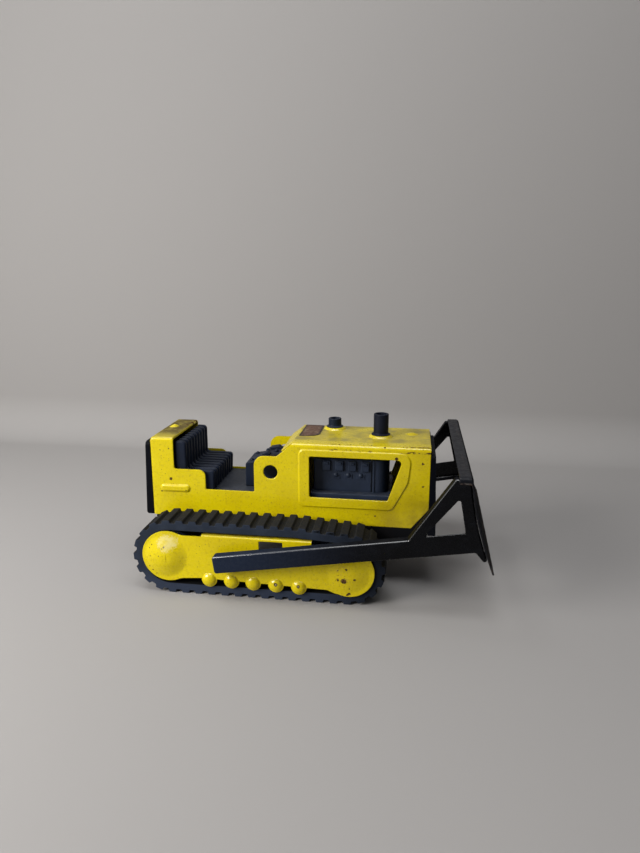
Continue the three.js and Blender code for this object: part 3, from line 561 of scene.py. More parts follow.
# ------------------------------------------------------------------ materials
# spot tables are x, y, z, radius in divisions
RUBBED_CLEAN = [  # over the hood collars and the pips
    (STACK[0], STACK[1], 29.3, 4.5), (CLEANER[0], CLEANER[1], 29.3, 4.3),
    (93.4, 4.4, 29.5, 2.5), (3.4, 1.6, 29.9, 2.0),
]
CHIPS = [
    # body side
    (7.18, -14.5, 14.1, 0.62), (6.86, -14.5, 25.45, 0.28), (3.62, -14.5, 24.75, 0.25),
    (97.4, -14.5, 23.8, 0.5), (97.7, -14.5, 15.6, 0.42), (81.5, -14.5, 3.9, 0.3),
    (88.4, -14.6, 25.3, 0.62), (54.75, -14.6, 11.1, 0.22), (12.9, -15.0, 10.0, 0.3),
    (3.5, -14.5, 9.1, 0.3), (58.3, -14.6, 23.8, 0.3),
    # track frame
    (70.05, -31.5, -13.2, 0.85), (72.35, -31.5, -13.4, 1.15), (76.05, -31.5, -12.75, 0.55),
    (70.3, -31.4, -11.4, 0.34), (74.2, -30.8, -16.4, 0.32), (74.2, -30.3, -18.3, 0.5),
    (73.6, -30.3, -18.9, 0.45), (4.6, -31.2, -8.8, 0.25), (9.5, -32.1, -4.7, 0.28),
    (73.2, -31.4, -9.1, 0.45), (70.3, -31.4, -9.6, 0.40), (9.9, -31.75, -5.0, 0.34),
    (10.6, -31.65, -4.6, 0.24), (9.2, -31.85, -5.6, 0.24), (5.2, -30.8, -4.6, 0.26),
    (4.4, -30.8, -5.9, 0.24), (4.0, -30.4, -12.9, 0.26), (5.1, -30.35, -14.3, 0.30),
    (6.4, -30.3, -15.6, 0.24), (13.0, -31.75, -6.2, 0.22), (11.5, -31.8, -12.2, 0.2),
    (8.0, -32.1, -8.2, 0.2), (3.4, -30.4, -9.6, 0.24), (7.4, -31.3, -13.6, 0.22),
    # hood and box tops
    (72.4, -13.2, 29.2, 0.35), (76.9, -13.0, 29.3, 0.3), (79.6, -13.1, 29.25, 0.38),
    (84.3, -13.9, 28.8, 0.35), (97.4, -13.9, 28.5, 0.4), (90.6, -13.6, 29.0, 0.25),
    (68.4, -13.3, 29.2, 0.3), (8.3, 8.6, 29.6, 0.9), (7.2, 5.2, 29.6, 0.6),
    (8.3, 12.3, 29.4, 0.8),
]
WORN_RINGS = [(49.05, -31.35, -16.35, 0.72), (56.85, -31.35, -16.5, 0.66)]
WORN_CORES = [(49.05, -31.35, -16.35, 0.30), (56.85, -31.35, -16.5, 0.26)]
# pale patches painted on the rear lobe's dome as a highlight
HIGHLIGHT_PATCHES = [(10.4, -31.1, -3.9, 3.2), (12.8, -30.7, -3.3, 2.2)]
PEELED = [(72.0, -31.5, -9.9, 3.0), (72.8, -31.5, -11.6, 2.2)]


def yellow_enamel():
    mat = Mat("yellow_enamel")
    x, y, z = mat.position()
    broad = mat.noise(0.06, rough=0.5).rise(0.35, 0.7)
    mat.color = mat.mix(broad, (0.735, 0.590, 0.002), (0.665, 0.520, 0.002))
    fine = mat.noise(0.55, detail=4, rough=0.6).rise(0.5, 0.85, to=(0.0, 0.25))
    mat.paint(fine, (0.50, 0.385, 0.02))
    mottle = mat.noise(0.85, detail=4, rough=0.66).rise(0.50, 0.72)
    mat.paint(mottle * 0.42, (0.42, 0.30, 0.012))
    # handling film and painted shade on faces that look up, rubbed off the collars and pips
    up = mat.up().rise(0.6, 0.97)
    film = up * mat.noise(0.16, detail=4, rough=0.62).rise(0.36, 0.66, to=(0.35, 1.0))
    clean = mat.spots(RUBBED_CLEAN, ragged=0.3)
    film = film * (1.0 - clean)
    # film and painted shade both thinner along the right edge
    wander = (mat.noise(0.25, detail=4, rough=0.6, stretch=(0.4, 1, 1)) - 0.5) * 3.0
    film = film * (y + wander).rise(-12.3, -8.6, to=(0.22, 1.0))
    mat.paint(film * 0.74, (0.180, 0.158, 0.078))
    # painted shade, brown, low on the hood sides towards the front
    front = x.rise(2.0, 48.0) * z.rise(28.0, 50.0, to=(1.0, 0.26))
    front = front * mat.noise(0.12, detail=4, rough=0.6).rise(0.30, 0.62, to=(0.55, 1.0))
    front = front * z.rise(24.0, 25.0)
    mat.paint(front * 0.74, (0.190, 0.125, 0.009))
    # brown grime on top of the box behind the seat
    aft = x.fall(-56.3, -55.9) * z.rise(57.0, 57.8) * (1.0 - clean)
    grime = aft * up * mat.noise(0.35, detail=5, rough=0.62).rise(0.30, 0.54, to=(0.55, 1.0))
    grime = grime * y.rise(-14.0, -5.0, to=(0.45, 1.0))
    mat.paint(grime * 0.95, (0.085, 0.060, 0.018))
    # brown grime and painted shade in corners
    patchy = mat.noise(0.5, detail=4, rough=0.6).rise(0.3, 0.7, to=(0.2, 0.85))
    mat.paint(mat.cavity(reach=2.2).rise(0.18, 0.8) * patchy, (0.16, 0.105, 0.03))
    # two rows of chips along the bend at the right edge of the hood
    rows = abs(y + 14.85).fall(0.30, 0.62) * z.rise(57.0, 57.5)
    rows = rows.max(abs(z + -56.6).fall(0.25, 0.50) * y.fall(-15.8, -15.6))
    rows = rows * x.rise(6.0, 10.0)
    rows = rows * mat.noise(1.5, detail=4, rough=0.65, stretch=(0.42, 1, 1)).rise(0.50, 0.55)
    rows = rows * mat.noise(0.16, detail=2, rough=0.5).rise(0.40, 0.52, to=(0.15, 1.0))
    # tiny dark pits
    distance, pick = mat.cells(0.62)
    pits = distance.fall(0.05, 0.13) * pick.rise(0.72, 0.74)
    pits = pits * mat.noise(0.09, detail=2, rough=0.5).rise(0.44, 0.58)
    # clusters of finer ochre specks
    distance, pick = mat.cells(0.95)
    specks = distance.fall(0.14, 0.30) * pick.rise(0.55, 0.60)
    specks = specks * mat.noise(0.11).rise(0.42, 0.60)
    mat.paint(specks * 0.62, (0.33, 0.225, 0.014))
    # chips down to rust, along edges and bends
    chip = mat.edge(radius=0.42).rise(0.02, 0.22)
    chip = chip * mat.noise(0.75, detail=5, rough=0.68).rise(0.585, 0.625)
    streaks = mat.noise(1.25, detail=4, rough=0.7, stretch=(0.45, 1, 1.0)).rise(0.665, 0.695)
    chip = chip.max(mat.edge(radius=1.5).rise(0.015, 0.10) * streaks * 0.9)
    chip = chip.max(pits.max(mat.spots(CHIPS))).max(rows)
    # rollers worn through to a bare ring with a pale centre
    ring = mat.spots(WORN_RINGS, ragged=0.7)
    core = mat.spots(WORN_CORES, ragged=0.5)
    rusty = mat.noise(1.6, detail=4, rough=0.6).rise(0.35, 0.65)
    mat.paint(chip, mat.mix(rusty, (0.022, 0.012, 0.008), (0.115, 0.042, 0.014)))
    mat.paint(ring * 0.95, (0.035, 0.020, 0.022))
    mat.paint(core, (0.40, 0.34, 0.22))
    # pale painted highlight on the rear lobe of the track frame, peeling on the front one
    pale = mat.spots(HIGHLIGHT_PATCHES, ragged=1.6)
    pale = pale * mat.noise(0.35, rough=0.6).rise(0.3, 0.65, to=(0.25, 1.0))
    mat.paint(pale * 0.42, (0.84, 0.77, 0.50))
    peel = mat.spots(PEELED) * mat.noise(1.0, detail=5, rough=0.7).rise(0.55, 0.60)
    mat.paint(peel * 0.6, (0.47, 0.33, 0.05))
    rough = mat.noise(0.8, rough=0.6).rise(0.3, 0.7, to=(0.24, 0.34))
    rough = rough + (film * 0.06).max(grime * 0.3)
    orange_peel = mat.bump(mat.noise(0.95), depth=0.09, strength=0.6)
    coat = (1.0 - chip) * (0.17 - (film * 0.10).max(grime * 0.17))
    bend = mat.bend() * (1.0 - chip)
    return mat.finish(
        rough=mat.lerp(chip, rough, 0.82),
        normal=mat.bump(0.0 - chip.max(core), depth=0.09, strength=0.9, over=orange_peel),
        coat=mat.lerp(bend, coat, 0.55),
        coat_rough=0.12,
        spec=mat.lerp(bend, 0.20 - film * 0.10, 0.7),
    )


def black_enamel():
    mat = Mat("black_enamel")
    x, _, _ = mat.position()
    broad = mat.noise(0.08).rise(0.35, 0.7, to=(0.0, 0.5))
    mat.color = mat.mix(broad, (0.0012, 0.0013, 0.0020), (0.0030, 0.0034, 0.0050))
    # painted reflection: lighter and bluish towards the rear ends of the arms
    mat.paint((x + mat.noise(0.15) * 12.0).fall(-30.0, 38.0), (0.0120, 0.0185, 0.0370))
    dust = mat.noise(0.22, detail=5, rough=0.65).rise(0.35, 0.7, to=(0.25, 0.95))
    dust = mat.up().rise(0.5, 0.95) * dust
    mat.paint(dust * 0.18, (0.060, 0.062, 0.068))
    film = mat.noise(0.3, detail=5, rough=0.65, stretch=(0.5, 1, 1)).rise(0.50, 0.78)
    mat.paint(film * 0.10, (0.030, 0.036, 0.050))
    # painted shade: darker in corners
    mat.paint(mat.cavity(reach=3.0).rise(0.25, 0.9) * 0.35, (0.008, 0.006, 0.005))
    # chipped edges and scratches
    chips = mat.edge(radius=0.4).rise(0.03, 0.25)
    chips = chips * mat.noise(0.9, detail=5, rough=0.7).rise(0.56, 0.64) * 0.45
    scratches = mat.noise(0.9, detail=4, rough=0.7, stretch=(1.0, 0.15, 1.0)).rise(0.71, 0.76)
    worn = chips.max(scratches * 0.25)
    bare = mat.noise(2.0).rise(0.4, 0.6)
    mat.paint(worn, mat.mix(bare, (0.21, 0.19, 0.175), (0.075, 0.035, 0.02)))
    rough = mat.noise(0.7, detail=4, rough=0.6).rise(0.3, 0.7, to=(0.20, 0.34)) + dust * 0.2
    rough = mat.lerp(worn, rough, 0.6)
    waves = mat.bump(mat.noise(0.5, detail=2, rough=0.5), depth=0.05, strength=0.25)
    # glossy only on the bends
    bend = mat.bend()
    flat = mat.up().rise(0.3, 0.75) * (1.0 - bend)
    return mat.finish(
        rough=mat.lerp(flat, rough, 0.75),
        normal=mat.bump(0.0 - worn, depth=0.06, strength=0.8, over=waves),
        coat=(1.0 - worn) * mat.lerp(bend, 0.07 - flat * 0.07, 1.0),
        coat_rough=0.10,
        spec=mat.lerp(bend, 0.09 - flat * 0.07, 1.0),
    )


def blade_enamel():
    """black enamel, scoured pale towards the blade's cutting edge"""
    mat = Mat("blade_enamel")
    _, _, z = mat.position()
    broad = mat.noise(0.07).rise(0.35, 0.7)
    mat.color = mat.mix(broad, (0.0045, 0.0052, 0.0075), (0.0075, 0.0085, 0.0120))
    dust = mat.noise(0.2, detail=5, rough=0.65).rise(0.3, 0.7, to=(0.35, 1.0))
    dust = mat.up().rise(0.5, 0.95) * dust
    mat.paint(dust * 0.34, (0.048, 0.048, 0.055))
    scour = mat.noise(0.55, detail=6, rough=0.72, stretch=(1, 0.35, 1.3)).rise(0.42, 0.62)
    scour = z.fall(21.0, 31.0) * scour
    streak = mat.noise(0.6, detail=5, rough=0.7, stretch=(1, 0.12, 1.6))
    worn = scour.max(streak.rise(0.56, 0.70, to=(0.0, 0.55)))
    edge = mat.edge(radius=0.45).rise(0.03, 0.25)
    worn = worn.max(edge * mat.noise(0.8, detail=5, rough=0.7).rise(0.42, 0.54))
    bare = mat.noise(1.4, detail=4).rise(0.4, 0.62)
    mat.paint(worn * 0.8, mat.mix(bare, (0.105, 0.095, 0.088), (0.062, 0.034, 0.022)))
    rough = mat.noise(0.7, detail=4, rough=0.6).rise(0.3, 0.7, to=(0.3, 0.46)) + dust * 0.25
    rough = mat.lerp(worn, rough, 0.58)
    waves = mat.bump(mat.noise(0.9, rough=0.5), depth=0.06, strength=0.4)
    # the front face is dull and dark
    ahead = mat.facing()[0].rise(0.25, 0.6)
    mat.paint(ahead * (0.5 - worn * 0.3), (0.006, 0.005, 0.005))
    return mat.finish(
        rough=mat.lerp(ahead, rough, 0.9),
        metallic=worn * (0.3 - ahead * 0.3),
        normal=mat.bump(0.0 - worn, depth=0.06, strength=0.7, over=waves),
        coat=(1.0 - worn.max(ahead)) * 0.08,
        spec=mat.lerp(ahead, 0.12, 0.02),
    )


def black_plastic(
    name, tint=(0.0088, 0.0140, 0.0285), tint2=(0.0064, 0.0102, 0.0205),
    spec=0.15, dust_and_edge_highlight=1.0, shade_spots=(),
):
    mat = Mat(name)
    mat.color = mat.mix(mat.noise(0.12).rise(0.35, 0.7), tint, tint2)
    dust = mat.noise(0.3, detail=5, rough=0.65).rise(0.3, 0.7, to=(0.1, 0.8))
    dust = mat.up().rise(0.5, 0.95) * dust
    mat.paint(dust * (0.45 * dust_and_edge_highlight), (0.060, 0.066, 0.080))
    # painted shade: darker in corners
    mat.paint(mat.cavity(reach=2.5).rise(0.25, 0.9) * 0.6, (0.005, 0.005, 0.006))
    # painted highlight: lighter, bluer rims on hard edges, scaled with the dust
    edge = mat.edge(radius=0.35).rise(0.03, 0.3)
    edge = edge * mat.noise(0.7, detail=4, rough=0.6).rise(0.35, 0.6, to=(0.25, 0.8))
    mat.paint(edge * (0.5 * dust_and_edge_highlight), (0.060, 0.076, 0.108))
    if shade_spots:
        mat.paint(mat.spots(shade_spots, ragged=0.1) * 0.85, (0.0010, 0.0010, 0.0014))
    rough = mat.noise(1.0, detail=4, rough=0.6).rise(0.3, 0.7, to=(0.42, 0.55)) + dust * 0.2
    grain = mat.bump(mat.noise(5.0, rough=0.6), depth=0.02, strength=0.5)
    waves = mat.bump(mat.noise(0.5, rough=0.5), depth=0.06, strength=0.4, over=grain)
    return mat.finish(rough=rough, normal=waves, coat_rough=0.3, spec=spec)


def track_rubber():
    mat = Mat("track_rubber_dusty")
    x, _, z = mat.position()
    _, normal_y, normal_z = mat.facing()
    broad = mat.noise(0.15, detail=4).rise(0.35, 0.7)
    mat.color = mat.mix(broad, (0.0170, 0.0235, 0.0385), (0.0240, 0.0325, 0.0520))
    # paler near the ground; darker forward, as painted shade
    mat.paint(z.rise(4.0, 11.0, to=(0.75, 0.0)), (0.034, 0.045, 0.076))
    mat.paint(x.rise(-2.0, 30.0), (0.0075, 0.0105, 0.0180))
    # brown dust lies on the tread and not on the flat sides
    tread = 1.0 - abs(normal_y).rise(0.35, 0.8)
    dust = mat.noise(0.28, detail=5, rough=0.65).rise(0.32, 0.66, to=(0.25, 0.95))
    dust = tread * dust
    mat.paint(tread * 0.75, (0.006, 0.006, 0.007))
    mat.paint(dust * 0.36, (0.026, 0.022, 0.017))
    # painted shade: darker in the corners of the tread
    cavity = mat.cavity(reach=2.0).rise(0.2, 0.85)
    mat.paint(cavity * (tread * 0.55), (0.009, 0.008, 0.006))
    edge = mat.edge(radius=0.4).rise(0.03, 0.3)
    edge = edge * mat.noise(0.8, detail=4, rough=0.6).rise(0.35, 0.65, to=(0.1, 0.8))
    mat.paint(edge * 0.35, (0.045, 0.046, 0.050))
    # painted shade: near-black on the inside of the lower run
    inner = z.fall(18.0, 20.0) * normal_z.rise(0.2, 0.5) * z.rise(2.0, 2.6)
    mat.paint(inner * 0.8, (0.003, 0.003, 0.003))
    rough = mat.noise(1.2, detail=4, rough=0.6).rise(0.3, 0.7, to=(0.68, 0.88))
    grain = mat.bump(mat.noise(4.0, rough=0.65), depth=0.03, strength=0.6)
    waves = mat.noise(0.6, detail=4, rough=0.6)
    normal = mat.bump(waves, depth=0.10, strength=0.5, over=grain)
    return mat.finish(rough=rough, normal=normal, coat_rough=0.3, spec=0.15)


def zinc_steel():
    mat = Mat("zinc_steel")
    broad = mat.noise(0.9, detail=4).rise(0.35, 0.65)
    mat.color = mat.mix(broad, (0.42, 0.42, 0.42), (0.30, 0.29, 0.28))
    tarnish = mat.noise(0.7, detail=5, rough=0.7).rise(0.52, 0.66)
    mat.paint(tarnish * 0.7, (0.13, 0.065, 0.03))
    # painted shade: darker in recesses
    mat.paint(mat.cavity(reach=1.5).rise(0.2, 0.8) * 0.6, (0.05, 0.04, 0.03))
    rough = mat.noise(2.0).rise(0.3, 0.7, to=(0.26, 0.42))
    return mat.finish(
        rough=mat.lerp(tarnish, rough, 0.7),
        metallic=mat.lerp(tarnish, 1.0, 0.35),
        normal=mat.bump(mat.noise(2.2, detail=4, rough=0.6), depth=0.04, strength=0.5),
    )


def worn_film():
    mat = Mat("worn_film")
    x, y, _ = mat.position()
    broad = mat.noise(0.35, detail=4, rough=0.6).rise(0.35, 0.65)
    mat.color = mat.mix(broad, (0.080, 0.032, 0.018), (0.120, 0.058, 0.034))
    scuff = mat.noise(0.5, detail=6, rough=0.72, stretch=(1.0, 0.5, 1.0)).rise(0.52, 0.66)
    mat.paint(scuff * 0.7, (0.30, 0.23, 0.14))
    edge = mat.edge(radius=0.5).rise(0.02, 0.2)
    edge = edge * mat.noise(0.7, detail=4, rough=0.6).rise(0.4, 0.55, to=(0.3, 1.0))
    mat.paint(edge * 0.5, (0.30, 0.25, 0.15))
    # dark rim, following the round corner at the front right
    rim = x.rise(0.45, 0.75).max(x.fall(-6.15, -5.85))
    rim = rim.max(y.fall(-4.0, -3.6).max(y.rise(13.2, 13.6)))
    corner = mat.distance(56.3, 0.3, 29.75).rise(3.05, 3.35)
    corner = corner * (x.rise(-2.6, -2.4) * y.fall(0.3, 0.5))
    rim = rim.max(corner) * mat.noise(0.8).rise(0.32, 0.45, to=(0.5, 1.0))
    mat.paint(rim * 0.9, (0.016, 0.011, 0.008))
    return mat.finish(
        rough=mat.noise(0.8, detail=4).rise(0.3, 0.7, to=(0.45, 0.7)),
        normal=mat.bump(mat.noise(1.2, detail=5, rough=0.65), depth=0.05, strength=0.5),
    )


YELLOW, BLACK, BLADE = yellow_enamel(), black_enamel(), blade_enamel()
RUBBER, STEEL, LABEL = track_rubber(), zinc_steel(), worn_film()
PLASTIC = black_plastic("moulded_plastic")
# painted light: a lighter, bluer copy of the black plastic, making up for the shade inside the hood
LIGHTENED_ENGINE_PLASTIC = black_plastic(
    "engine_plastic_lightened", tint=(0.0190, 0.0290, 0.0540), tint2=(0.0135, 0.0205, 0.0385),
    spec=0.28, dust_and_edge_highlight=1.9,
)
DARK = black_plastic(
    "panel_plastic", tint=(0.0028, 0.0034, 0.0058), tint2=(0.0020, 0.0024, 0.0040),
    spec=0.07, dust_and_edge_highlight=0.2,
)
STUB = black_plastic(
    "stub_plastic", tint=(0.0078, 0.0100, 0.0205), tint2=(0.0058, 0.0074, 0.0150),
    spec=0.12, dust_and_edge_highlight=0.6,
)
FLOOR = black_plastic(
    "floor_plastic", tint=(0.0190, 0.0235, 0.0340), tint2=(0.0140, 0.0175, 0.0255),
    spec=0.25, dust_and_edge_highlight=1.4,
)
DASH = black_plastic("dash_plastic", shade_spots=[(44.1, -6.6, 18.3, 5.2)])
CHASSIS = black_plastic(
    "chassis_paint", tint=(0.0040, 0.0042, 0.0055), tint2=(0.0065, 0.0060, 0.0065),
    spec=0.08, dust_and_edge_highlight=0.25,
)


# ------------------------------------------------------------------ body shell
BOX_REAR_BEND, BOX_FRONT_BEND = 1.2, 0.4
BOX_X = sorted({
    round(x, 5)
    for x in [0.0, *bend_steps(BOX_REAR_BEND, 7)]
    + list(np.linspace(BOX_REAR_BEND, BOX_FRONT - BOX_FRONT_BEND, 8))
    + [BOX_FRONT - d for d in [0.0, *bend_steps(BOX_FRONT_BEND, 5)]]
})
HOOD_X = [round(x, 5) for x in np.linspace(HOOD_REAR, HOOD_FRONT, 41)]
# side outlines as x, z and corner radius
WINDOW = rounded([(58.0, 24.75, 0.7), (90.6, 24.65, 1.4), (85.7, 9.7, 0.7), (58.1, 9.75, 0.7)], 8)
WINDOW_FRAME = rounded(
    [(54.2, 27.3, 2.0), (93.9, 27.3, 3.8), (92.8, 16.5, 8), (87.4, 6.1, 2.4), (54.2, 6.1, 2.2)], 12
)
STADIUM = rounded([(3.1, 12.1, 1.49), (14.4, 12.1, 1.49), (14.4, 9.1, 1.49), (3.1, 9.1, 1.49)], 10)
PORT_X, PORT_Z, PORT_R = 44.1, 18.3, 2.55
COLLAR = [  # (distance outside the stub radius, height)
    (1.75, 0.0), (1.66, 0.05), (1.56, 0.14), (1.44, 0.30), (1.30, 0.47),
    (1.12, 0.62), (0.92, 0.72), (0.70, 0.76), (0.40, 0.76), (0.18, 0.74),
]
# pressed pips: x, y, x radius, y radius, height
HOOD_PIP, BOX_PIP = (93.4, 4.6, 2.6, 2.2, 0.6), (3.6, 1.6, 1.9, 2.1, 0.85)
# tongue sloping down behind the hood
FLAP_SLOPE, FLAP_BEND, FLAP_LENGTH, FLAP_HALF = math.atan2(3.5, 4.65), 1.0, 5.82, 12.9


def box_top(x):
    x = np.asarray(x, float)
    top = BOX_TOP - quarter(x, BOX_REAR_BEND)
    return top - quarter(BOX_FRONT - x, BOX_FRONT_BEND)


def side_outline():
    loop = rounded([(94.2, 0), (0, 0, 0.6), (0, 20)], 6)[1:-1]
    loop += [(0, z) for z in (6, 12, 18, 24)]
    loop += [(x, float(box_top(x))) for x in BOX_X]
    cockpit = [
        (BOX_FRONT, 26), (BOX_FRONT, 17.85, 0.9), (20.1, 17.85, 2.4), (20.1, 10.6, 0.5),
        (38.1, 10.6, 0.5), (38.1, 24.1, 3.6), (46.2, 24.1, 0.9), (HOOD_REAR, HOOD_TOP),
    ]
    loop += rounded(cockpit, 9)[1:-1]
    # sloping edge up to the hood, sampled where the bend curls it in
    foot, head = np.array(loop[-1]), np.array([HOOD_REAR, HOOD_TOP])
    for t in (0.3, 0.55, 0.75, 0.82, 0.88, 0.93, 0.97, 0.99):
        loop.append(tuple(foot + (head - foot) * t))
    loop += [(x, HOOD_TOP) for x in HOOD_X]
    loop += [(HOOD_FRONT, HOOD_TOP - drop) for drop in bend_steps(BEND, 8)]
    loop += rounded([(HOOD_FRONT, 20), (HOOD_FRONT, 7.2, 0.8), (94.2, 0, 0.6), (80, 0)], 6)[:-1]
    clean = []
    for x, z in loop:
        if not clean or math.hypot(x - clean[-1][0], z - clean[-1][1]) > 1e-3:
            clean.append((x, z))
    return clean


SIDE = resample(side_outline(), 4.0)


def inner_face(face_y, z, drop, radius):
    """y and z one sheet thickness in from a face that bends over at its top"""
    run = np.clip(radius - drop, 0, radius)
    cosine = run / radius
    sine = np.sqrt(np.maximum(1 - cosine**2, 0))
    y = np.where(run > 0, (face_y - radius) + (radius - SHEET) * sine, face_y - SHEET)
    return y, np.where(run > 0, z - SHEET * cosine, z)


def build_side():
    loops = [SIDE, WINDOW, circle(PORT_X, PORT_Z, PORT_R, 48)]
    for d in (0.05, 0.14, 0.3):
        loops.append(inset(WINDOW, -d * 0.9))
        loops.append(circle(PORT_X, PORT_Z, PORT_R + d * 0.9, 48))
    for outline, distances in (
        (WINDOW_FRAME, (-0.3, -0.12, 0.0, 0.1, 0.2, 0.3, 0.4, 0.48, 0.62)),
        (STADIUM, (-0.12, 0.0, 0.05, 0.12, 0.24, 0.4, 0.6, 0.8, 0.95, 1.1)),
        (SIDE, (0.035, 0.14, 0.28)),
    ):
        loops += [inset(outline, d) for d in distances]
    lines = []
    for drop in bend_steps(BEND, 8):
        lines.append([(x, float(box_top(x)) - drop) for x in BOX_X])
        lines.append([(x, HOOD_TOP - drop) for x in HOOD_X])
    lines.append([(x, HOOD_TOP - BEND - 0.12) for x in HOOD_X])
    # points that let the broad faces carry a slight unevenness
    points = grid(np.arange(1.5, 99.5, 2.4), np.arange(1.2, 28.0, 2.4))
    clear = (depth_in(points, SIDE) > 0.7) & (depth_in(points, WINDOW) < -0.7)
    points = points[clear & (abs(depth_in(points, WINDOW_FRAME)) > 0.8)]

    def port_distance(x, z):
        return np.hypot(x - PORT_X, z - PORT_Z)

    def keep(middle):
        solid = (depth_in(middle, SIDE) > 0) & (depth_in(middle, WINDOW) < 0)
        return solid & (port_distance(*middle.T) > PORT_R * 0.999)

    flat, faces = triangulate(loops, keep, lines, points)
    x, z = flat.T
    edge = depth_in(flat, SIDE)
    drop = np.where(x < 30, box_top(np.clip(x, 0, BOX_FRONT)), HOOD_TOP) - z
    raised = 0.36 * smoothstep((depth_in(flat, WINDOW_FRAME) + 0.12) / 0.6)
    stadium = 0.62 * np.sqrt(smoothstep(depth_in(flat, STADIUM) / 0.95))
    raised = np.maximum(raised, stadium)
    # rounding of the raw edges, the rear corner and the rims of window and port
    below = drop > BEND * 0.98
    raw = np.where(below, quarter(edge, EDGE_R), 0)
    raw = np.where((x < 1.0) & below, quarter(x, 0.45), raw)
    window = quarter(-depth_in(flat, WINDOW), 0.26)
    port = quarter(port_distance(x, z) - PORT_R, 0.24)
    eased = np.maximum(np.maximum(raw, window), port)
    dent = 0.05 * np.sin(x * 0.13 + 0.7) * np.sin(z * 0.21 + 0.4) * smoothstep(edge / 3.0)
    y = BODY_HALF - quarter(drop, BEND) + raised - eased + dent
    back_y, back_z = inner_face(BODY_HALF, z, drop, BEND)
    back_y = back_y + raised + dent
    return np.stack([x, -y, z], 1), np.stack([x, -back_y, back_z], 1), faces


def pip_rings(x, y, radius_x, radius_y, _):
    angles = np.linspace(0, 2 * math.pi, 33)[:-1]
    return [
        [(x + radius_x * k * math.cos(a), y + radius_y * k * math.sin(a)) for a in angles]
        for k in (0.2, 0.4, 0.6, 0.8, 0.92, 1.0, 1.12)
    ]


def pip_height(x, y, pip):
    centre_x, centre_y, radius_x, radius_y, height = pip
    t = np.sqrt(((x - centre_x) / radius_x) ** 2 + ((y - centre_y) / radius_y) ** 2)
    return height * np.where(t < 1, np.cos(np.minimum(t, 1) * math.pi / 2) ** 1.3, 0)


def collar_height(distance, radius):
    radii = np.array([radius + a for a, _ in COLLAR])[::-1]
    heights = np.array([h for _, h in COLLAR])[::-1]
    return np.where(distance > radii[-1], 0.0, np.interp(distance, radii, heights))


def build_hood():
    """hood top and flap, laid out flat in x and y before the flap is bent down"""
    flap_end = HOOD_REAR - FLAP_LENGTH
    outline = [(x, -FLAT_HALF) for x in HOOD_X]
    outline += [(HOOD_FRONT, y) for y in np.linspace(-FLAT_HALF, FLAT_HALF, 12)[1:-1]]
    outline += [(x, FLAT_HALF) for x in HOOD_X[::-1]]
    tongue = [
        (HOOD_REAR, FLAP_HALF), (flap_end, FLAP_HALF, 0.8),
        (flap_end, -FLAP_HALF, 0.8), (HOOD_REAR, -FLAP_HALF),
    ]
    outline += resample(rounded(tongue, 6), 2.5, closed=False)
    loops = [outline]
    for x, y, radius in (STACK, CLEANER):
        loops += [circle(x, y, radius + a, 56) for a, _ in COLLAR]
        loops.append(circle(x, y, radius + 2.0, 56))
    loops += pip_rings(*HOOD_PIP)
    lines = []
    for run in (0.0, 0.13, 0.26, 0.39, 0.52, FLAP_BEND * FLAP_SLOPE, 0.9):
        half = FLAT_HALF - 0.01 if run == 0 else FLAP_HALF
        lines.append([(HOOD_REAR - run, y) for y in np.linspace(-half, half, 12)])
    for y in (-FLAT_HALF + 0.12, FLAT_HALF - 0.12):
        lines.append([(x, y) for x in np.linspace(HOOD_REAR + 0.1, HOOD_FRONT - 0.05, 30)])
    points = [
        p for p in grid(np.arange(54, 99, 2.6), np.arange(-11.5, 12, 2.5))
        if all(math.hypot(p[0] - x, p[1] - y) > r + 2.3 for x, y, r in (STACK, CLEANER))
    ]

    def keep(middle):
        solid = depth_in(middle, outline) > 0
        for x, y, radius in (STACK, CLEANER):
            distance = np.hypot(middle[:, 0] - x, middle[:, 1] - y)
            solid &= distance > (radius + COLLAR[-1][0]) * 0.999
        return solid

    flat, faces = triangulate(loops, keep, lines, points)
    x, y = flat.T
    height = np.zeros(len(flat))
    for centre_x, centre_y, radius in (STACK, CLEANER):
        height += collar_height(np.hypot(x - centre_x, y - centre_y), radius)
    height += pip_height(x, y, HOOD_PIP)
    run = np.clip(HOOD_REAR - x, 0, None)
    angle = np.minimum(run, FLAP_BEND * FLAP_SLOPE) / FLAP_BEND
    rest = np.clip(run - FLAP_BEND * FLAP_SLOPE, 0, None)
    bent_x = HOOD_REAR - FLAP_BEND * np.sin(angle) - rest * math.cos(FLAP_SLOPE)
    bent_x = np.where(run > 0, bent_x, x)
    bent_z = HOOD_TOP - FLAP_BEND * (1 - np.cos(angle)) - rest * math.sin(FLAP_SLOPE)
    edge = depth_in(flat, outline)
    tip = quarter(np.where(run > 0.3, edge, 9), EDGE_R)
    sag = 0.07 * np.sin(x * 0.11) * np.sin((y + 14) * 0.11) * smoothstep(edge / 3)

    def face(rise):
        return np.stack([bent_x - np.sin(angle) * rise, y, bent_z + np.cos(angle) * rise - sag], 1)

    return face(height - tip), face(height - SHEET), faces


def build_box_top():
    across = np.linspace(-FLAT_HALF, FLAT_HALF, 12)[1:-1]
    outline = [(x, -FLAT_HALF) for x in BOX_X] + [(BOX_X[-1], y) for y in across]
    outline += [(x, FLAT_HALF) for x in BOX_X[::-1]]
    outline += [(BOX_X[0], y) for y in np.linspace(FLAT_HALF, -FLAT_HALF, 12)[1:-1]]
    line_y = np.linspace(-FLAT_HALF + 0.01, FLAT_HALF - 0.01, 12)
    lines = [[(x, y) for y in line_y] for x in BOX_X[1:-1]]
    flat, faces = triangulate(
        [outline, *pip_rings(*BOX_PIP)], lambda middle: depth_in(middle, outline) > 0, lines
    )
    x, y = flat.T
    z = box_top(x) + pip_height(x, y, BOX_PIP)
    return np.stack([x, y, z], 1), np.stack([x, y, z - SHEET], 1), faces


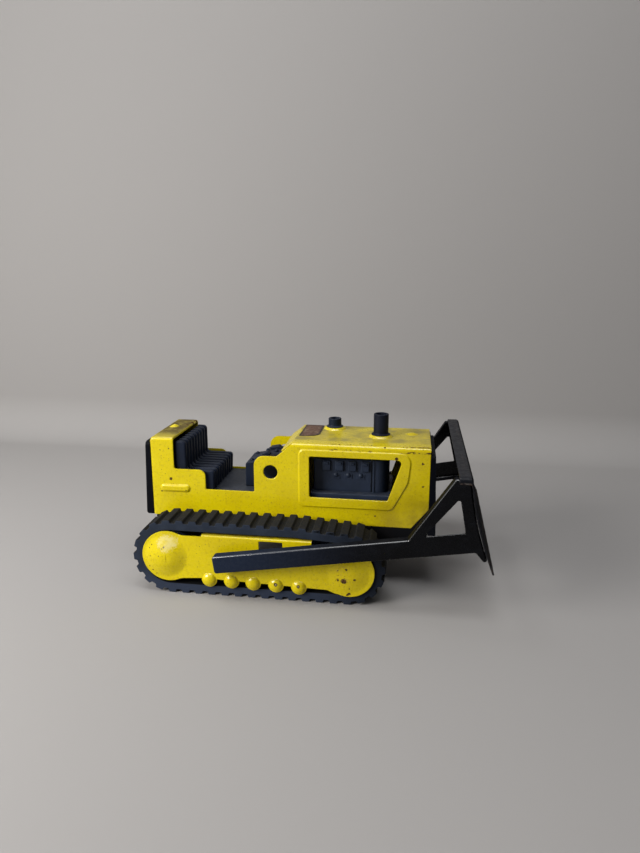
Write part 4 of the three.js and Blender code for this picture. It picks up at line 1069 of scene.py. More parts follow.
right_side = build_side()
flip = np.array([1, -1, 1])
left_side = (right_side[0] * flip, right_side[1] * flip, right_side[2][:, ::-1])
body = sheet("body_shell_pressing", [right_side, left_side, build_hood(), build_box_top()])
dress(body, YELLOW, "chassis", "body_shell")


# ------------------------------------------------------------------ side frames
LOBES = [(10.6, -8.9, 9.2), (73.9, -10.9, 8.7)]  # x, z, radius
ROLLERS = [(25.3, -16.7), (33.2, -16.8), (40.9, -16.95), (48.9, -17.1), (56.9, -17.3)]  # x, z
ROLLER_R = 2.75
FLANGE_REAR, FLANGE_FRONT, FLANGE_TOP, FLANGE_BEND = 22.9, 61.2, -0.4, 0.55
FLANGE_XS = [round(x, 5) for x in np.linspace(FLANGE_REAR, FLANGE_FRONT, 26)]
FRAME_PLATE = rounded(
    [
        (10.6, -1.2), (14.0, -0.45, 1), (15.9, -1.0, 1), (FLANGE_REAR, -0.9),
        *[(x, FLANGE_TOP) for x in FLANGE_XS],
        (FLANGE_FRONT, -5.2, 1), (67, -4.0, 1), (73.9, -2.6), (73.9, -19.3), (69.4, -18.75, 1),
        (66.6, -17.6, 1), (22.6, -16.4, 1), (15.7, -16.9, 1), (13.2, -17.6, 1), (10.6, -17.6),
    ],
    6,
)
FRAME_SHAPES = [FRAME_PLATE] + [circle(*lobe, 96) for lobe in LOBES]
FRAME_SHAPES += [circle(x, z, ROLLER_R, 48) for x, z in ROLLERS]
# domes: x, z, radius, height, points round
LOBE_DOMES = [
    (LOBES[0][0] - 0.8, LOBES[0][1] + 0.1, 8.0, 2.05, 80),
    (LOBES[1][0] - 0.2, LOBES[1][1], 7.4, 1.3, 72),
]
ROLLER_DOMES = [(x, z, 2.45, 1.2, 40) for x, z in ROLLERS]
# tab turned down against the chassis wall
TAB_WALL, TAB_BEND, TAB_DROP, TAB_REAR, TAB_FRONT = 14.43, 0.9, 3.6, 25.0, 60.0


def frame_depth(points):
    return np.max([depth_in(points, shape) for shape in FRAME_SHAPES], axis=0)


def frame_plate():
    slot = rounded([(43.1, -1.35, 0.3), (51.3, -1.35, 0.3), (51.3, -6.2, 0.5), (43.1, -6.2, 0.5)], 5)
    stud = circle(*PIVOT, 1.16, 32)
    loops = FRAME_SHAPES + [slot, stud, inset(slot, -0.05), inset(slot, -0.16)]
    for x, z, radius in LOBES:
        loops += [circle(x, z, radius - d, 96) for d in (0.04, 0.14, 0.3)]
    for x, z in ROLLERS:
        loops += [circle(x, z, ROLLER_R - d, 48) for d in (0.04, 0.14)]
    loops += [inset(FRAME_PLATE, d) for d in (0.04, 0.14, 0.3)]
    for x, z, radius, _, count in LOBE_DOMES + ROLLER_DOMES:
        for k in (1.05, 1.0, 0.975, 0.94, 0.9, 0.84, 0.76, 0.66, 0.54, 0.40, 0.24, 0.1):
            loops.append(circle(x, z, radius * k, count))
    lines = [[(x, FLANGE_TOP - drop) for x in FLANGE_XS] for drop in bend_steps(FLANGE_BEND, 6)]
    points = grid(np.arange(17, 68, 2.2), np.arange(-15.5, -2, 2.2))
    clear = (frame_depth(points) > 0.6) & (abs(depth_in(points, slot)) > 0.5)
    points = points[clear & (np.hypot(points[:, 0] - PIVOT[0], points[:, 1] - PIVOT[1]) > 1.6)]

    def keep(middle):
        solid = (frame_depth(middle) > 0) & (depth_in(middle, slot) < 0)
        return solid & (depth_in(middle, stud) < 0)

    flat, faces = triangulate(loops, keep, lines, points)
    x, z = flat.T
    raised = np.zeros(len(flat))
    for centre_x, centre_z, radius, height, _ in LOBE_DOMES:
        t = np.hypot(x - centre_x, z - centre_z) / radius
        raised = np.maximum(raised, height * (1 - np.minimum(t, 1) ** 2.1) ** 1.6)
    for centre_x, centre_z, radius, height, _ in ROLLER_DOMES:
        distance = np.hypot(x - centre_x, z - centre_z)
        near = np.minimum(distance, radius)
        sphere = (radius * radius + height * height) / (2 * height)
        cap = np.sqrt(np.maximum(sphere * sphere - near**2, 0)) - (sphere - height)
        cap = cap + 0.25 * height * (1 - (near / radius) ** 2) * (near / radius) ** 2
        cap = cap * smoothstep((1 - distance / radius) / 0.10) ** 0.5
        raised = np.maximum(raised, np.where(distance < radius, cap, 0))
    drop = FLANGE_TOP - z
    flanged = (x > FLANGE_REAR - 1e-3) & (x < FLANGE_FRONT + 1e-3)
    border = frame_depth(flat)
    eased = np.maximum(quarter(border, EDGE_R), quarter(-depth_in(flat, slot), 0.16))
    eased = np.where(flanged & (drop < FLANGE_BEND), 0, eased)
    wobble = 0.05 * np.sin(x * 0.17 + 1.0) * np.sin(z * 0.3)
    wobble = wobble * smoothstep(border / 2.5) * smoothstep(drop / 2)
    bend_drop = np.where(flanged, drop, 9)
    y = PLATE_OUT - quarter(bend_drop, FLANGE_BEND) + raised - eased + wobble
    back_y, back_z = inner_face(PLATE_OUT, z, bend_drop, FLANGE_BEND)
    back_y = back_y + raised + wobble
    return np.stack([x, -y, z], 1), np.stack([x, -back_y, back_z], 1), faces


def frame_flange():
    """flange and tab, laid out flat as (x, run inward from the plate)"""
    start_y = PLATE_OUT - FLANGE_BEND
    straight = start_y - (TAB_WALL + TAB_BEND)
    total = straight + TAB_BEND * math.pi / 2 + TAB_DROP
    edge = [
        (FLANGE_FRONT, 0.0), (FLANGE_FRONT, straight - 0.6), (TAB_FRONT, straight + 0.2),
        (TAB_FRONT, total, 0.8), (TAB_REAR, total, 0.8), (TAB_REAR, straight + 0.2),
        (FLANGE_REAR, straight - 0.6), (FLANGE_REAR, 0.0),
    ]
    outline = [(x, 0.0) for x in FLANGE_XS]
    outline += resample(rounded(edge, 5), 2.5, closed=False)[1:-1]
    seams = [straight + TAB_BEND * math.pi / 2 * k / 6 for k in range(7)]
    lines = [[(x, s) for x in np.linspace(25.05, 59.95, 20)] for s in seams]
    lines += [[(x, s) for x in np.linspace(23.1, 61.0, 20)] for s in (0.12, 3.0, 7.0, 11.0)]
    flat, faces = triangulate([outline], lambda middle: depth_in(middle, outline) > 0, lines)
    x, run = flat.T
    angle = np.clip((run - straight) / TAB_BEND, 0, math.pi / 2)
    down = np.clip(run - straight - TAB_BEND * math.pi / 2, 0, None)
    level = run < straight
    y = np.where(level, start_y - run, TAB_WALL + TAB_BEND - TAB_BEND * np.sin(angle))
    bent_z = FLANGE_TOP - TAB_BEND + TAB_BEND * np.cos(angle) - down
    z = np.where(level, FLANGE_TOP, bent_z)
    normal_y = np.where(level, 0.0, np.sin(angle))
    normal_z = np.where(level, 1.0, np.cos(angle))
    back = np.stack([x, -(y + normal_y * SHEET), z - normal_z * SHEET], 1)
    return np.stack([x, -y, z], 1), back, faces


frame_right = sheet("track_frame_right_pressing", [frame_plate(), frame_flange()])
dress_pair(frame_right, YELLOW, "chassis", "track_frame_right")


# ------------------------------------------------------------------ track bands
LUG_HEIGHT, BAND_THICK, LUGS = 1.1, 2.55, 42
# radius inside the band, from the radius over the lugs
REAR_BAND_R = 13.55 - LUG_HEIGHT - BAND_THICK
FRONT_BAND_R = 12.85 - LUG_HEIGHT - BAND_THICK
CARRIER = (55.0, -6.0, 6.4)  # x, z, radius of the circle the upper run passes over
TRACK_OUT, TRACK_IN = -29.3, -17.3


def belt(extra, steps):
    points = []
    for x, z, radius in ((*REAR_AXLE, REAR_BAND_R), CARRIER, (*FRONT_AXLE, FRONT_BAND_R)):
        points += circle(x, z, radius + extra, steps, math.pi / steps)
    return hull(points)


def lug_outline():
    path = np.array(belt(BAND_THICK, 360))
    after = np.roll(path, -1, 0)
    lengths = np.linalg.norm(after - path, axis=1)
    travel = np.concatenate([[0], np.cumsum(lengths)])
    total = travel[-1]
    # the first lug is centred at x = 40 on the lower run
    first = next(
        i for i in range(len(path)) if path[i, 0] < 40 <= after[i, 0] and path[i, 1] < -15
    )
    start = travel[first] + (40 - path[first, 0])
    pitch = total / LUGS

    def on_path(along, height):
        distance = (start + along) % total
        i = min(int(np.searchsorted(travel, distance, side="right")) - 1, len(lengths) - 1)
        way = (after[i] - path[i]) / lengths[i]
        foot = path[i] + way * (distance - travel[i])
        return (foot[0] + way[1] * height, foot[1] - way[0] * height)

    flat = []
    for k in range(LUGS):
        middle = k * pitch
        flat += [
            (middle - 1.55, 0.0, 0.3), (middle - 1.18, LUG_HEIGHT, 0.3),
            (middle + 1.18, LUG_HEIGHT, 0.3), (middle + 1.55, 0.0, 0.3),
            (middle + pitch / 2 - 0.35, 0.0), (middle + pitch / 2 + 0.35, 0.0),
        ]
    return [on_path(along, height) for along, height in rounded(flat, 4)]


def build_track(name):
    ease, width = 0.2, TRACK_IN - TRACK_OUT
    angles = [math.pi / 2 * k / 3 for k in range(4)]
    corner = [(ease * (1 - math.sin(a)), ease * (1 - math.cos(a))) for a in angles]
    across = [(0.0, t) for t in np.linspace(ease, width - ease, 9)[1:-1]]
    rim = corner + across + [(i, width - d) for i, d in corner[::-1]]
    return panel(
        name, lug_outline(), rim, belt(0, 96), rim, lambda u, v, depth: (u, TRACK_OUT + depth, v)
    )


track_right = build_track("track_band_right")
dress_pair(track_right, RUBBER, "chassis", "track_right")


# ------------------------------------------------------------------ blade and push arms
def blade_point(z, behind=0.0):
    """x, z of the curved blade section, a distance behind its front face"""
    down = BLADE_TOP - z
    slope = 0.1066 + 2 * 0.004853 * down
    stretch = math.hypot(1, slope)
    x = 112.15 + 0.1066 * down + 0.004853 * down * down - behind / stretch
    return (x, z - behind * slope / stretch)


def sprung(part):
    """the left side of the blade assembly stands a little high, wide and forward"""
    mesh = part.data
    coords = np.empty(len(mesh.vertices) * 3)
    mesh.vertices.foreach_get("co", coords)
    coords = coords.reshape(-1, 3)
    x, y, z = coords.T / DIVISION
    x, z = x + X_MID, z + Z_GROUND
    share = np.clip((y + 36.0) / 74.0, 0, 1.05) * np.clip((x - 36.0) / 76.0, 0, 1.1)
    forward = 0.3 + 1.4 * np.clip((BLADE_TOP - z) / 31.0, 0, 1)
    coords[:, 0] += share * forward * np.clip((x - 90) / 22, 0, 1) * DIVISION
    coords[:, 1] += share * 1.3 * DIVISION
    coords[:, 2] += share * 0.6 * DIVISION
    mesh.vertices.foreach_set("co", coords.reshape(-1))
    mesh.update()
    return part


def build_moldboard(name):
    # centre line from the back of the top flange, round the bend, down to the cutting edge
    half, bend = BLADE_THICK / 2, 0.85
    top = BLADE_TOP - half
    curve = [blade_point(z, half) for z in np.linspace(top - bend, BLADE_LOW + 0.25, 34)]
    bend_x = curve[0][0] - bend
    line = [(x, top) for x in np.linspace(107.9 + half, bend_x, 5)]
    for a in np.linspace(0, math.pi / 2, 8)[1:]:
        line.append((bend_x + bend * math.sin(a), top - bend + bend * math.cos(a)))
    line = np.array(line + curve[1:])
    tangent = np.gradient(line, axis=0)
    tangent /= np.linalg.norm(tangent, axis=1)[:, None]
    # up on the flange, forward on the face
    normal = np.stack([-tangent[:, 1], tangent[:, 0]], 1)

    def section(thick):
        r = thick / 2
        start, end = [], []
        for a in np.linspace(0, math.pi, 7)[1:-1]:
            start.append(line[0] - tangent[0] * r * math.sin(a) + normal[0] * r * -math.cos(a))
            end.append(line[-1] + tangent[-1] * r * math.sin(a) + normal[-1] * r * math.cos(a))
        return np.concatenate([line + normal * r, end, (line - normal * r)[::-1], start])

    ends = [0.0, 0.05, 0.15, 0.3, 0.5, 0.75, 1.05, 1.4, 1.8]
    ys = [-BLADE_HALF + e for e in ends]
    ys += list(np.linspace(-BLADE_HALF + 1.8, BLADE_HALF - 1.8, 74)[1:-1])
    ys += [BLADE_HALF - e for e in ends[::-1]]
    thin = [BLADE_THICK - 0.28, BLADE_THICK - 0.12, BLADE_THICK - 0.03]
    thicks = thin + [BLADE_THICK] * (len(ys) - 6) + thin[::-1]
    phases = np.random.default_rng(7).uniform(0, 6.28, 12)
    waves = list(zip((0.31, 0.53, 0.87, 1.3, 2.1), phases))
    loops = []
    for y, thick in zip(ys, thicks):
        points = section(thick)
        # nicked cutting edge, slightly bowed face, rounded top corners
        nick = 0.10 * sum(math.sin(y * rate + phase) for rate, phase in waves) / 2.2
        bow = 0.06 * math.sin(y * 0.11 + 0.5)
        low = smoothstep((BLADE_LOW + 3.5 - points[:, 1]) / 3.5)
        points[:, 1] += low * (nick * 0.9 + 0.05)
        points[:, 0] += bow * smoothstep((26 - points[:, 1]) / 10) * (1 - low)
        high = smoothstep((points[:, 1] - (BLADE_TOP - 5)) / 5)
        points[:, 1] -= high * quarter(BLADE_HALF - abs(y), 1.8)
        loops.append([(x, y, z) for x, z in points])
    return loft(name, loops)


def build_arm(name):
    """channel with its web outward and its flange turned in"""
    behind = BLADE_THICK + 0.06
    back = [blade_point(z, behind) for z in np.linspace(2.6, 23.8, 11)]
    corners = [
        (*blade_point(26.35, behind), 0.8), (106.9, 26.35, 0.95), (93.1, 5.15, 0.8),
        (27.7, -5.95, 1.2), (28.6, -12.15, 0.95), (114.2, 2.5, 0.9),
        (*blade_point(-3.1, behind), 0.75),
    ]
    outline = resample(rounded(corners + back, 8), 3.0)
    opening = rounded([(108.6, 20.3, 0.6), (110.75, 8.95, 0.5), (97.9, 6.75, 0.5)], 8)
    bend, ease, lip = 0.7, 0.12, ARM_FLANGE
    rim = [
        (bend * (1 - math.cos(a)), bend * (1 - math.sin(a)))
        for a in np.linspace(math.pi / 2, 0, 8)
    ]
    rim += [
        (0.0, 1.6), (0.0, lip - ease), (0.04, lip - 0.03), (ease, lip), (SHEET - ease, lip),
        (SHEET - 0.04, lip - 0.03), (SHEET, lip - ease), (SHEET, 1.6),
    ]
    inner = bend - SHEET
    rim += [
        (SHEET + inner * (1 - math.cos(a)), bend - inner * math.sin(a))
        for a in np.linspace(0, math.pi / 2, 4)
    ]
    hole_rim = [
        (0.22, 0.0), (0.10, 0.03), (0.02, 0.11), (0.0, 0.22),
        (0.0, SHEET - 0.1), (0.04, SHEET - 0.02), (0.12, SHEET),
    ]

    def position(u, v, depth):
        return (u, -(ARM_Y - depth) - ARM_FLARE * (u - PIVOT[0]), v)

    return panel(name, outline, rim, opening, hole_rim, position)


moldboard = sprung(build_moldboard("blade_moldboard_pressing"))
dress(moldboard, BLADE, "blade", "blade_moldboard")
arm_right = build_arm("push_arm_right_channel")
dress_pair(arm_right, BLACK, "blade", "push_arm_right", adjust_left=sprung)


# ------------------------------------------------------------------ seat
COCKPIT_FLOOR = 9.93
SEAT_HALF, SEAT_RIBS, RIB_WIDTH = 13.1, 9, 1.85


def build_seat(name):
    """section between the ribs and over them, as x, z and corner radius"""
    core = [
        (9.1, COCKPIT_FLOOR), (9.1, 27.0, 0.8), (11.9, 27.0, 0.9),
        (11.9, 16.6, 0.8), (22.2, 16.6, 0.8), (22.2, COCKPIT_FLOOR),
    ]
    rib = [
        (8.9, COCKPIT_FLOOR), (8.9, 27.95, 0.8), (12.75, 27.95, 1.5),
        (12.75, 17.3, 1.3), (23.1, 17.3, 1.2), (22.75, COCKPIT_FLOOR),
    ]
    core, rib = np.array(rounded(core, 8)), np.array(rounded(rib, 8))
    half = RIB_WIDTH / 2
    pitch_run = 2 * SEAT_HALF - RIB_WIDTH
    side = (0.55, 0.74, 0.86, 0.94, 0.985, 1.0)
    loops = []
    for i in range(SEAT_RIBS):
        middle = -SEAT_HALF + half + i * pitch_run / (SEAT_RIBS - 1)
        for t in (*[-s for s in side[::-1]], 0.0, *side):
            swell = (1 - min(1.0, abs(t)) ** 3.2) ** 0.42
            section = core + (rib - core) * swell
            loops.append([(x, middle + t * half, z) for x, z in section])
    return loft(name, loops)


dress(build_seat("seat_ribbed"), PLASTIC, "chassis", "seat")


# ------------------------------------------------------------------ stubs on the hood
def build_stub(name, centre, top, depth, wall):
    """hollow-topped post with a flared foot over its collar"""
    x, y, r = centre
    base, foot, bore = 22.83, HOOD_TOP + 0.79, r - wall
    profile = [
        (0, base), (r - 0.15, base), (r, base + 0.15), (r, foot), (r + 0.62, foot - 0.02),
        (r + 0.72, foot + 0.04), (r + 0.74, foot + 0.14), (r + 0.68, foot + 0.24),
        (r + 0.4, foot + 0.34), (r + 0.16, foot + 0.46), (r + 0.04, foot + 0.66),
        (r, foot + 0.95), (r, top - 0.45),
    ]
    for a in np.linspace(0, math.pi / 2, 6):
        profile.append((r - 0.28 + 0.28 * math.cos(a), top - 0.28 + 0.28 * math.sin(a)))
    for a in np.linspace(0, math.pi / 2, 5):
        profile.append((bore + 0.16 - 0.16 * math.sin(a), top - 0.16 + 0.16 * math.cos(a)))
    profile += [
        (bore, top - depth + 0.25), (bore - 0.07, top - depth + 0.07),
        (bore - 0.25, top - depth), (0, top - depth),
    ]
    return lathe(name, profile, (x, y), "Z", 72)


stack = build_stub("exhaust_stack_moulding", STACK, top=37.7, depth=7.5, wall=0.75)
cleaner = build_stub("air_cleaner_moulding", CLEANER, top=33.3, depth=3.0, wall=0.8)
dress(stack, STUB, "chassis", "exhaust_stack")
dress(cleaner, PLASTIC, "chassis", "air_cleaner")


# ------------------------------------------------------------------ engine and dash
def solid_from(edit, name="solid"):
    mesh = bpy.data.meshes.new(name)
    edit.to_mesh(mesh)
    edit.free()
    return add_object(name, mesh)


def prism(outline, low, high, axis, ease, steps=3):
    """extruded outline with eased edges: (x, z) points for axis Y, (x, y) for axis Z"""
    if area(outline) < 0:
        outline = outline[::-1]
    edit = bmesh.new()
    bottom, top = [], []
    for u, v in outline:
        for level, ring in ((low, bottom), (high, top)):
            point = place(u, level, v) if axis == "Y" else place(u, v, level)
            ring.append(edit.verts.new(point))
    edit.faces.new(bottom[::-1])
    edit.faces.new(top)
    for i in range(len(outline)):
        k = (i + 1) % len(outline)
        edit.faces.new((bottom[i], bottom[k], top[k], top[i]))
    bmesh.ops.recalc_face_normals(edit, faces=edit.faces)
    hard = [e for e in edit.edges if e.calc_face_angle(0) > math.radians(28)]
    bmesh.ops.bevel(
        edit, geom=hard, offset=ease * DIVISION, offset_type="OFFSET", segments=steps,
        profile=0.5, affect="EDGES", clamp_overlap=True,
    )
    return solid_from(edit)


def slab(xs, ys, zs, ease):
    outline = [(xs[0], ys[0]), (xs[1], ys[0]), (xs[1], ys[1]), (xs[0], ys[1])]
    return prism(outline, *zs, "Z", ease)


def ball(x, y, z, radii):
    edit = bmesh.new()
    size = Matrix.Diagonal((*[r * DIVISION for r in radii], 1))
    bmesh.ops.create_uvsphere(
        edit, u_segments=28, v_segments=14, radius=1.0,
        matrix=Matrix.Translation(place(x, y, z)) @ size,
    )
    return solid_from(edit)


def merge(name, solids, cuts=()):
    base = solids[0]
    steps = [(s, "UNION") for s in solids[1:]] + [(c, "DIFFERENCE") for c in cuts]
    for k, (other, operation) in enumerate(steps):
        modifier = base.modifiers.new(f"b{k}", "BOOLEAN")
        modifier.object, modifier.solver = other, "EXACT"
        modifier.operation = operation
    depsgraph = bpy.context.evaluated_depsgraph_get()
    mesh = bpy.data.meshes.new_from_object(base.evaluated_get(depsgraph))
    mesh.name = name
    for part in (*solids, *cuts):
        bpy.data.objects.remove(part)
    merged = add_object(name, mesh)
    shade(mesh, 35)
    weighted_normals(merged, weight=70)
    return merged


ENGINE_HALF = 9.6


def build_engine(name):
    half = ENGINE_HALF
    block = [(58.9, -half, 0.5), (85.6, -half, 4.0), (85.6, half, 4.0), (58.9, half, 0.5)]
    ledge = [(58.2, -12.6, 0.6), (87.0, -12.6, 0.9), (87.0, 12.6, 0.9), (58.2, 12.6, 0.6)]
    parts = [
        prism(rounded(block, 10), 8.0, 22.8, "Z", 0.35),
        prism(rounded(ledge, 5), 7.4, 10.8, "Z", 0.3),
        slab((60, 84), (-9.2, 9.2), (0, 7.8), 0.2),
        slab((61.4, 67.2), (7, 12.2), (10.2, 22.8), 0.3),
    ]
    cuts = []
    for side in (-1, 1):

        def span(inner, outer):
            """y range from the side face of the block"""
            return (half + inner, half + outer) if side > 0 else (-half - outer, -half - inner)

        # the left side carries nothing behind x = 70
        for x in (63.6, 68.2, 72.8, 77.4):
            if side > 0 and x < 70:
                continue
            parts.append(slab((x - 1.45, x + 1.45), span(-0.6, 0.85), (18.6, 22.3), 0.3))
            parts.append(slab((x - 0.8, x + 0.8), span(-0.6, 1.25), (20.9, 21.9), 0.22))
        for x in (67.0, 71.4, 75.9):
            if side > 0 and x < 70:
                continue
            parts.append(ball(x, side * 9.55, 16.9, (0.95, 0.75, 0.95)))
            parts.append(slab((x - 1.4, x + 1.4), span(-0.6, 0.22), (15.6, 17.4), 0.12))
        cuts.append(slab((79.45, 80.1), span(-0.45, 1.5), (10.9, 23.5), 0.08))
        parts.append(slab((80.15, 80.8), span(-0.6, 0.28), (10.5, 22.4), 0.15))
    return merge(name, parts, cuts)


DASH_SIDE = [  # x, z, corner radius
    (33.0, COCKPIT_FLOOR), (33.0, 18.9, 1.0), (38.1, 19.9, 1.4), (39.3, 21.5, 0.8),
    (46.3, 22.1, 0.5), (46.3, COCKPIT_FLOOR),
]
DASH_RIBS = [  # side outline, y range
    ([(38.9, 18.0), (38.9, 22.2, 0.6), (40.9, 23.0, 0.8), (42.0, 22.2, 0.5), (42.0, 18.0)],
     (-5.2, -2.2)),
    ([(36.2, 17.0), (36.2, 19.7, 0.6), (38.6, 20.6, 0.8), (39.6, 20.0, 0.5), (39.6, 17.0)],
     (-0.9, 2.2)),
    ([(40.2, 18.0), (40.2, 22.4, 0.5), (43.6, 23.0, 0.7), (44.6, 22.2, 0.4), (44.6, 18.0)],
     (2.9, 6.4)),
]
DASH_KNOBS = [  # x, y, z, radius
    (35.0, -4.3, 19.35, 0.75), (35.2, 4.6, 19.35, 0.75), (37.3, -4.6, 19.95, 0.6),
    (43.6, -0.6, 22.1, 0.8), (40.0, 0.7, 21.9, 0.7),
]


def build_dash(name):
    parts = [prism(rounded(DASH_SIDE, 6), -6.6, 7.4, "Y", 0.45, 4)]
    parts += [prism(rounded(outline, 5), *span, "Y", 0.35) for outline, span in DASH_RIBS]
    parts += [ball(x, y, z, (r, r, r * 1.15)) for x, y, z, r in DASH_KNOBS]
    return merge(name, parts)


dress(build_engine("engine_casting"), LIGHTENED_ENGINE_PLASTIC, "chassis", "engine_block")
dress(build_dash("dash_casting"), DASH, "chassis", "dash_console")


# ------------------------------------------------------------------ wheels
def build_wheel(end, radius, centre):
    """right wheel: hub, web and rim turned about the axle, with five holes through the web"""
    bore, hub, rim, ease = 1.01, 2.5, radius - 1.5, 0.18
    profile = [
        (bore, -28.05), (hub - ease, -28.05), (hub, -28.05 + ease), (hub, -23.8),
        (hub + ease, -23.6), (rim - ease, -23.6), (rim, -23.8), (rim, -27.9 + ease),
        (rim + ease, -27.9), (radius - ease, -27.9), (radius, -27.9 + ease),
        (radius, -17.7 - ease), (radius - ease, -17.7), (rim + ease, -17.7),
        (rim, -17.7 - ease), (rim, -21.6), (rim - ease, -21.8), (hub + ease, -21.8),
        (hub, -21.6), (hub, -14.6 - ease), (hub - ease, -14.6), (bore, -14.6), (bore, -28.05),
    ]
    wheel = lathe(f"{end}_wheel_right_moulding", profile, centre, "Y", 80)
    edit = bmesh.new()
    for x, z in circle(*centre, (hub + rim) / 2, 5, math.pi / 2):
        bmesh.ops.create_cone(
            edit, cap_ends=True, segments=28, radius1=1.5 * DIVISION, radius2=1.5 * DIVISION,
            depth=4 * DIVISION,
            matrix=Matrix.Translation(place(x, -22.7, z)) @ Matrix.Rotation(math.pi / 2, 4, "X"),
        )
    cutter = solid_from(edit, f"{end}_cut")
    modifier = wheel.modifiers.new("holes", "BOOLEAN")
    modifier.object, modifier.operation, modifier.solver = cutter, "DIFFERENCE", "EXACT"
    wheel.modifiers.move(1, 0)
    depsgraph = bpy.context.evaluated_depsgraph_get()
    mesh = bpy.data.meshes.new_from_object(wheel.evaluated_get(depsgraph))
    wheel.modifiers.remove(wheel.modifiers["holes"])
    wheel.data = mesh
    bpy.data.objects.remove(cutter)
    shade(mesh, 38)
    return wheel


BAND_GAP = 0.3
for end, band_radius, axle in (
    ("rear", REAR_BAND_R, REAR_AXLE), ("front", FRONT_BAND_R, FRONT_AXLE),
):
    wheel = build_wheel(end, band_radius - BAND_GAP, axle)
    dress_pair(wheel, PLASTIC, f"wheel_{end}_right", f"{end}_wheel_right")


# ------------------------------------------------------------------ CAD nodes that stay
def soften_group():
    """node group that shades smooth, with edges above 40 degrees kept sharp"""
    group = bpy.data.node_groups.new("soften_40", "GeometryNodeTree")
    for direction in ("INPUT", "OUTPUT"):
        group.interface.new_socket(
            "Geometry", in_out=direction, socket_type="NodeSocketGeometry"
        )
    source, result = group.nodes.new("NodeGroupInput"), group.nodes.new("NodeGroupOutput")
    angle = group.nodes.new("GeometryNodeInputMeshEdgeAngle")
    sharp = group.nodes.new("FunctionNodeCompare")
    sharp.data_type, sharp.operation = "FLOAT", "GREATER_THAN"
    group.links.new(angle.outputs[0], sharp.inputs[0])
    sharp.inputs[1].default_value = math.radians(40)
    faces = group.nodes.new("GeometryNodeSetShadeSmooth")
    edges = group.nodes.new("GeometryNodeSetShadeSmooth")
    faces.domain, edges.domain = "FACE", "EDGE"
    faces.inputs["Shade Smooth"].default_value = True
    edges.inputs["Shade Smooth"].default_value = False
    group.links.new(source.outputs[0], faces.inputs["Geometry"])
    group.links.new(faces.outputs[0], edges.inputs["Geometry"])
    group.links.new(sharp.outputs[0], edges.inputs["Selection"])
    group.links.new(edges.outputs[0], result.inputs[0])
    return group


SOFTEN = soften_group()


def carry(node, material, ease_mm):
    """weld a CAD node, merge its flat facets, ease its edges and give it a finish"""
    part = CAD[node]
    weld = part.modifiers.new("weld", "WELD")
    weld.merge_threshold = 2e-6
    flat = part.modifiers.new("flat", "DECIMATE")
    flat.decimate_type = "DISSOLVE"
    flat.angle_limit = math.radians(0.6)
    if ease_mm:
        ease = part.modifiers.new("ease", "BEVEL")
        ease.width = ease_mm / 1000.0
        ease.segments = 3
        ease.limit_method = "ANGLE"
        ease.angle_limit = math.radians(32)
        ease.use_clamp_overlap = True
        ease.miter_outer = "MITER_ARC"
    part.modifiers.new("soften", "NODES").node_group = SOFTEN
    weighted_normals(part)
    if len(part.material_slots) == 0:
        part.data.materials.append(material)
    for slot in part.material_slots:
        slot.material = material


carry("chassis_channel", CHASSIS, ease_mm=0.1)
carry("rear_panel", DARK, ease_mm=0.3)
carry("radiator_grille", DARK, ease_mm=0.14)
carry("cockpit_floor", FLOOR, ease_mm=0.15)
carry("hood_label", LABEL, ease_mm=0.03)
for end in ("rear", "front"):
    carry(f"{end}_axle", STEEL, ease_mm=0)
    for side in ("right", "left"):
        carry(f"axle_nut_{end}_{side}", STEEL, ease_mm=0.06)
        carry(f"frame_rivet_{side}_{end}", STEEL, ease_mm=0)
        carry(f"body_rivet_{side}_{end}", STEEL, ease_mm=0)
for side in ("right", "left"):
    carry(f"arm_pivot_stud_{side}", STEEL, ease_mm=0.06)
    carry(f"arm_push_nut_{side}", STEEL, ease_mm=0.06)


# ------------------------------------------------------------------ stage, in metres
def build_stage():
    """floor, a short cove, then a plain wall on the left side of the machine"""
    half_width, wall_height, cove_y, cove = 3.0, 1.6, 0.16, 0.03
    profile = [(-3.0, 0.0), (cove_y, 0.0)]
    for a in np.linspace(0, math.pi / 2, 12)[1:]:
        profile.append((cove_y + cove * math.sin(a), cove - cove * math.cos(a)))
    profile.append((cove_y + cove, wall_height))
    verts, faces = [], []
    for i, (y, z) in enumerate(profile):
        verts += [(-half_width, y, z), (half_width, y, z)]
        if i:
            faces.append((2 * i - 2, 2 * i - 1, 2 * i + 1, 2 * i))
    mesh = bpy.data.meshes.new("stage_floor")
    mesh.from_pydata(verts, [], faces)
    mesh.polygons.foreach_set("use_smooth", [True] * len(mesh.polygons))
    part = add_object("stage_floor", mesh)
    material = bpy.data.materials.new("pale_stage")
    material.use_nodes = True
    shader = material.node_tree.nodes["Principled BSDF"]
    shader.inputs["Base Color"].default_value = (0.35, 0.335, 0.325, 1)
    shader.inputs["Roughness"].default_value = 0.8
    shader.inputs["Specular IOR Level"].default_value = 0.25
    mesh.materials.append(material)
    return part


def area_light(name, location, target, size, energy, color):
    light = bpy.data.lights.new(name, "AREA")
    light.shape = "RECTANGLE"
    light.size, light.size_y = size
    light.energy = energy
    light.color = color
    lamp = add_object(name, light)
    lamp.location = location
    lamp.rotation_mode = "QUATERNION"
    lamp.rotation_quaternion = (Vector(location) - Vector(target)).to_track_quat("Z", "Y")


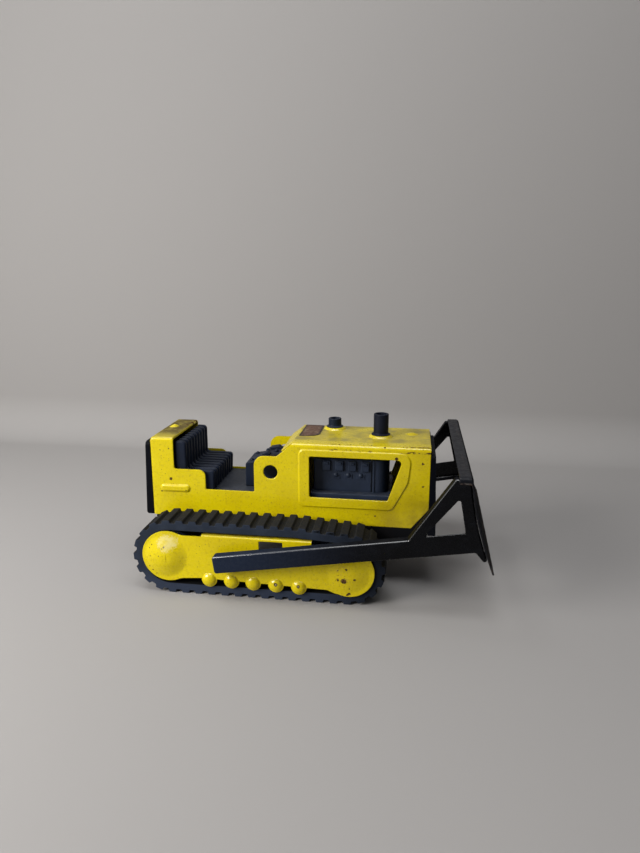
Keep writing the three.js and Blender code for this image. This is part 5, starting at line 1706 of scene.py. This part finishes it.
def build_world():
    """a soft room, dark at the horizon and brighter overhead"""
    world = bpy.data.worlds.new("studio")
    bpy.context.scene.world = world
    world.use_nodes = True
    tree = world.node_tree
    background = tree.nodes["Background"]
    coords = tree.nodes.new("ShaderNodeTexCoord")
    split = tree.nodes.new("ShaderNodeSeparateXYZ")
    strength = tree.nodes.new("ShaderNodeMapRange")
    tree.links.new(coords.outputs["Generated"], split.inputs[0])
    tree.links.new(split.outputs["Z"], strength.inputs["Value"])
    for key, value in (("From Min", 0.0), ("From Max", 0.9), ("To Min", 0.05), ("To Max", 0.22)):
        strength.inputs[key].default_value = value
    tree.links.new(strength.outputs["Result"], background.inputs["Strength"])
    background.inputs["Color"].default_value = (0.88, 0.91, 0.97, 1)


build_stage()
area_light(
    "key", location=(-0.35, -0.28, 0.23), target=(0.0, 0.0, 0.03),
    size=(0.24, 0.24), energy=2.5, color=(1.0, 0.985, 0.96),
)
area_light(
    "overhead", location=(-0.09, -0.06, 0.60), target=(-0.03, 0.0, 0.0),
    size=(0.55, 0.16), energy=0.93, color=(0.97, 0.985, 1.0),
)
area_light(
    "back_wash", location=(0.15, -0.25, 0.85), target=(0.10, 0.22, 0.22),
    size=(1.0, 0.25), energy=2.2, color=(0.97, 0.985, 1.0),
)
build_world()

view = bpy.context.scene.view_settings
view.view_transform = "Standard"
view.look = "None"
view.exposure = 0.0
view.gamma = 1.0


# ------------------------------------------------------------------ camera
YAW, PITCH, ROLL = 0.137762, 0.243868, 0.003464  # radians: left of +Y, below level, tilt


def build_camera():
    data = bpy.data.cameras.new("camera")
    camera = add_object("camera", data)
    bpy.context.scene.camera = camera
    camera.location = place(91.4468, -228.0197, 89.3303)
    level = math.cos(PITCH)
    look = Vector((-math.sin(YAW) * level, math.cos(YAW) * level, -math.sin(PITCH)))
    right = Vector((math.cos(YAW), math.sin(YAW), 0))
    up = right.cross(look)
    rolled_right = right * math.cos(ROLL) + up * math.sin(ROLL)
    rolled_up = -right * math.sin(ROLL) + up * math.cos(ROLL)
    axes = Matrix((rolled_right, rolled_up, -look)).transposed()
    camera.rotation_mode = "QUATERNION"
    camera.rotation_quaternion = axes.to_quaternion()
    data.sensor_width = 36.0
    data.lens = 27.222723
    data.clip_start, data.clip_end = 0.01, 10.0


build_camera()
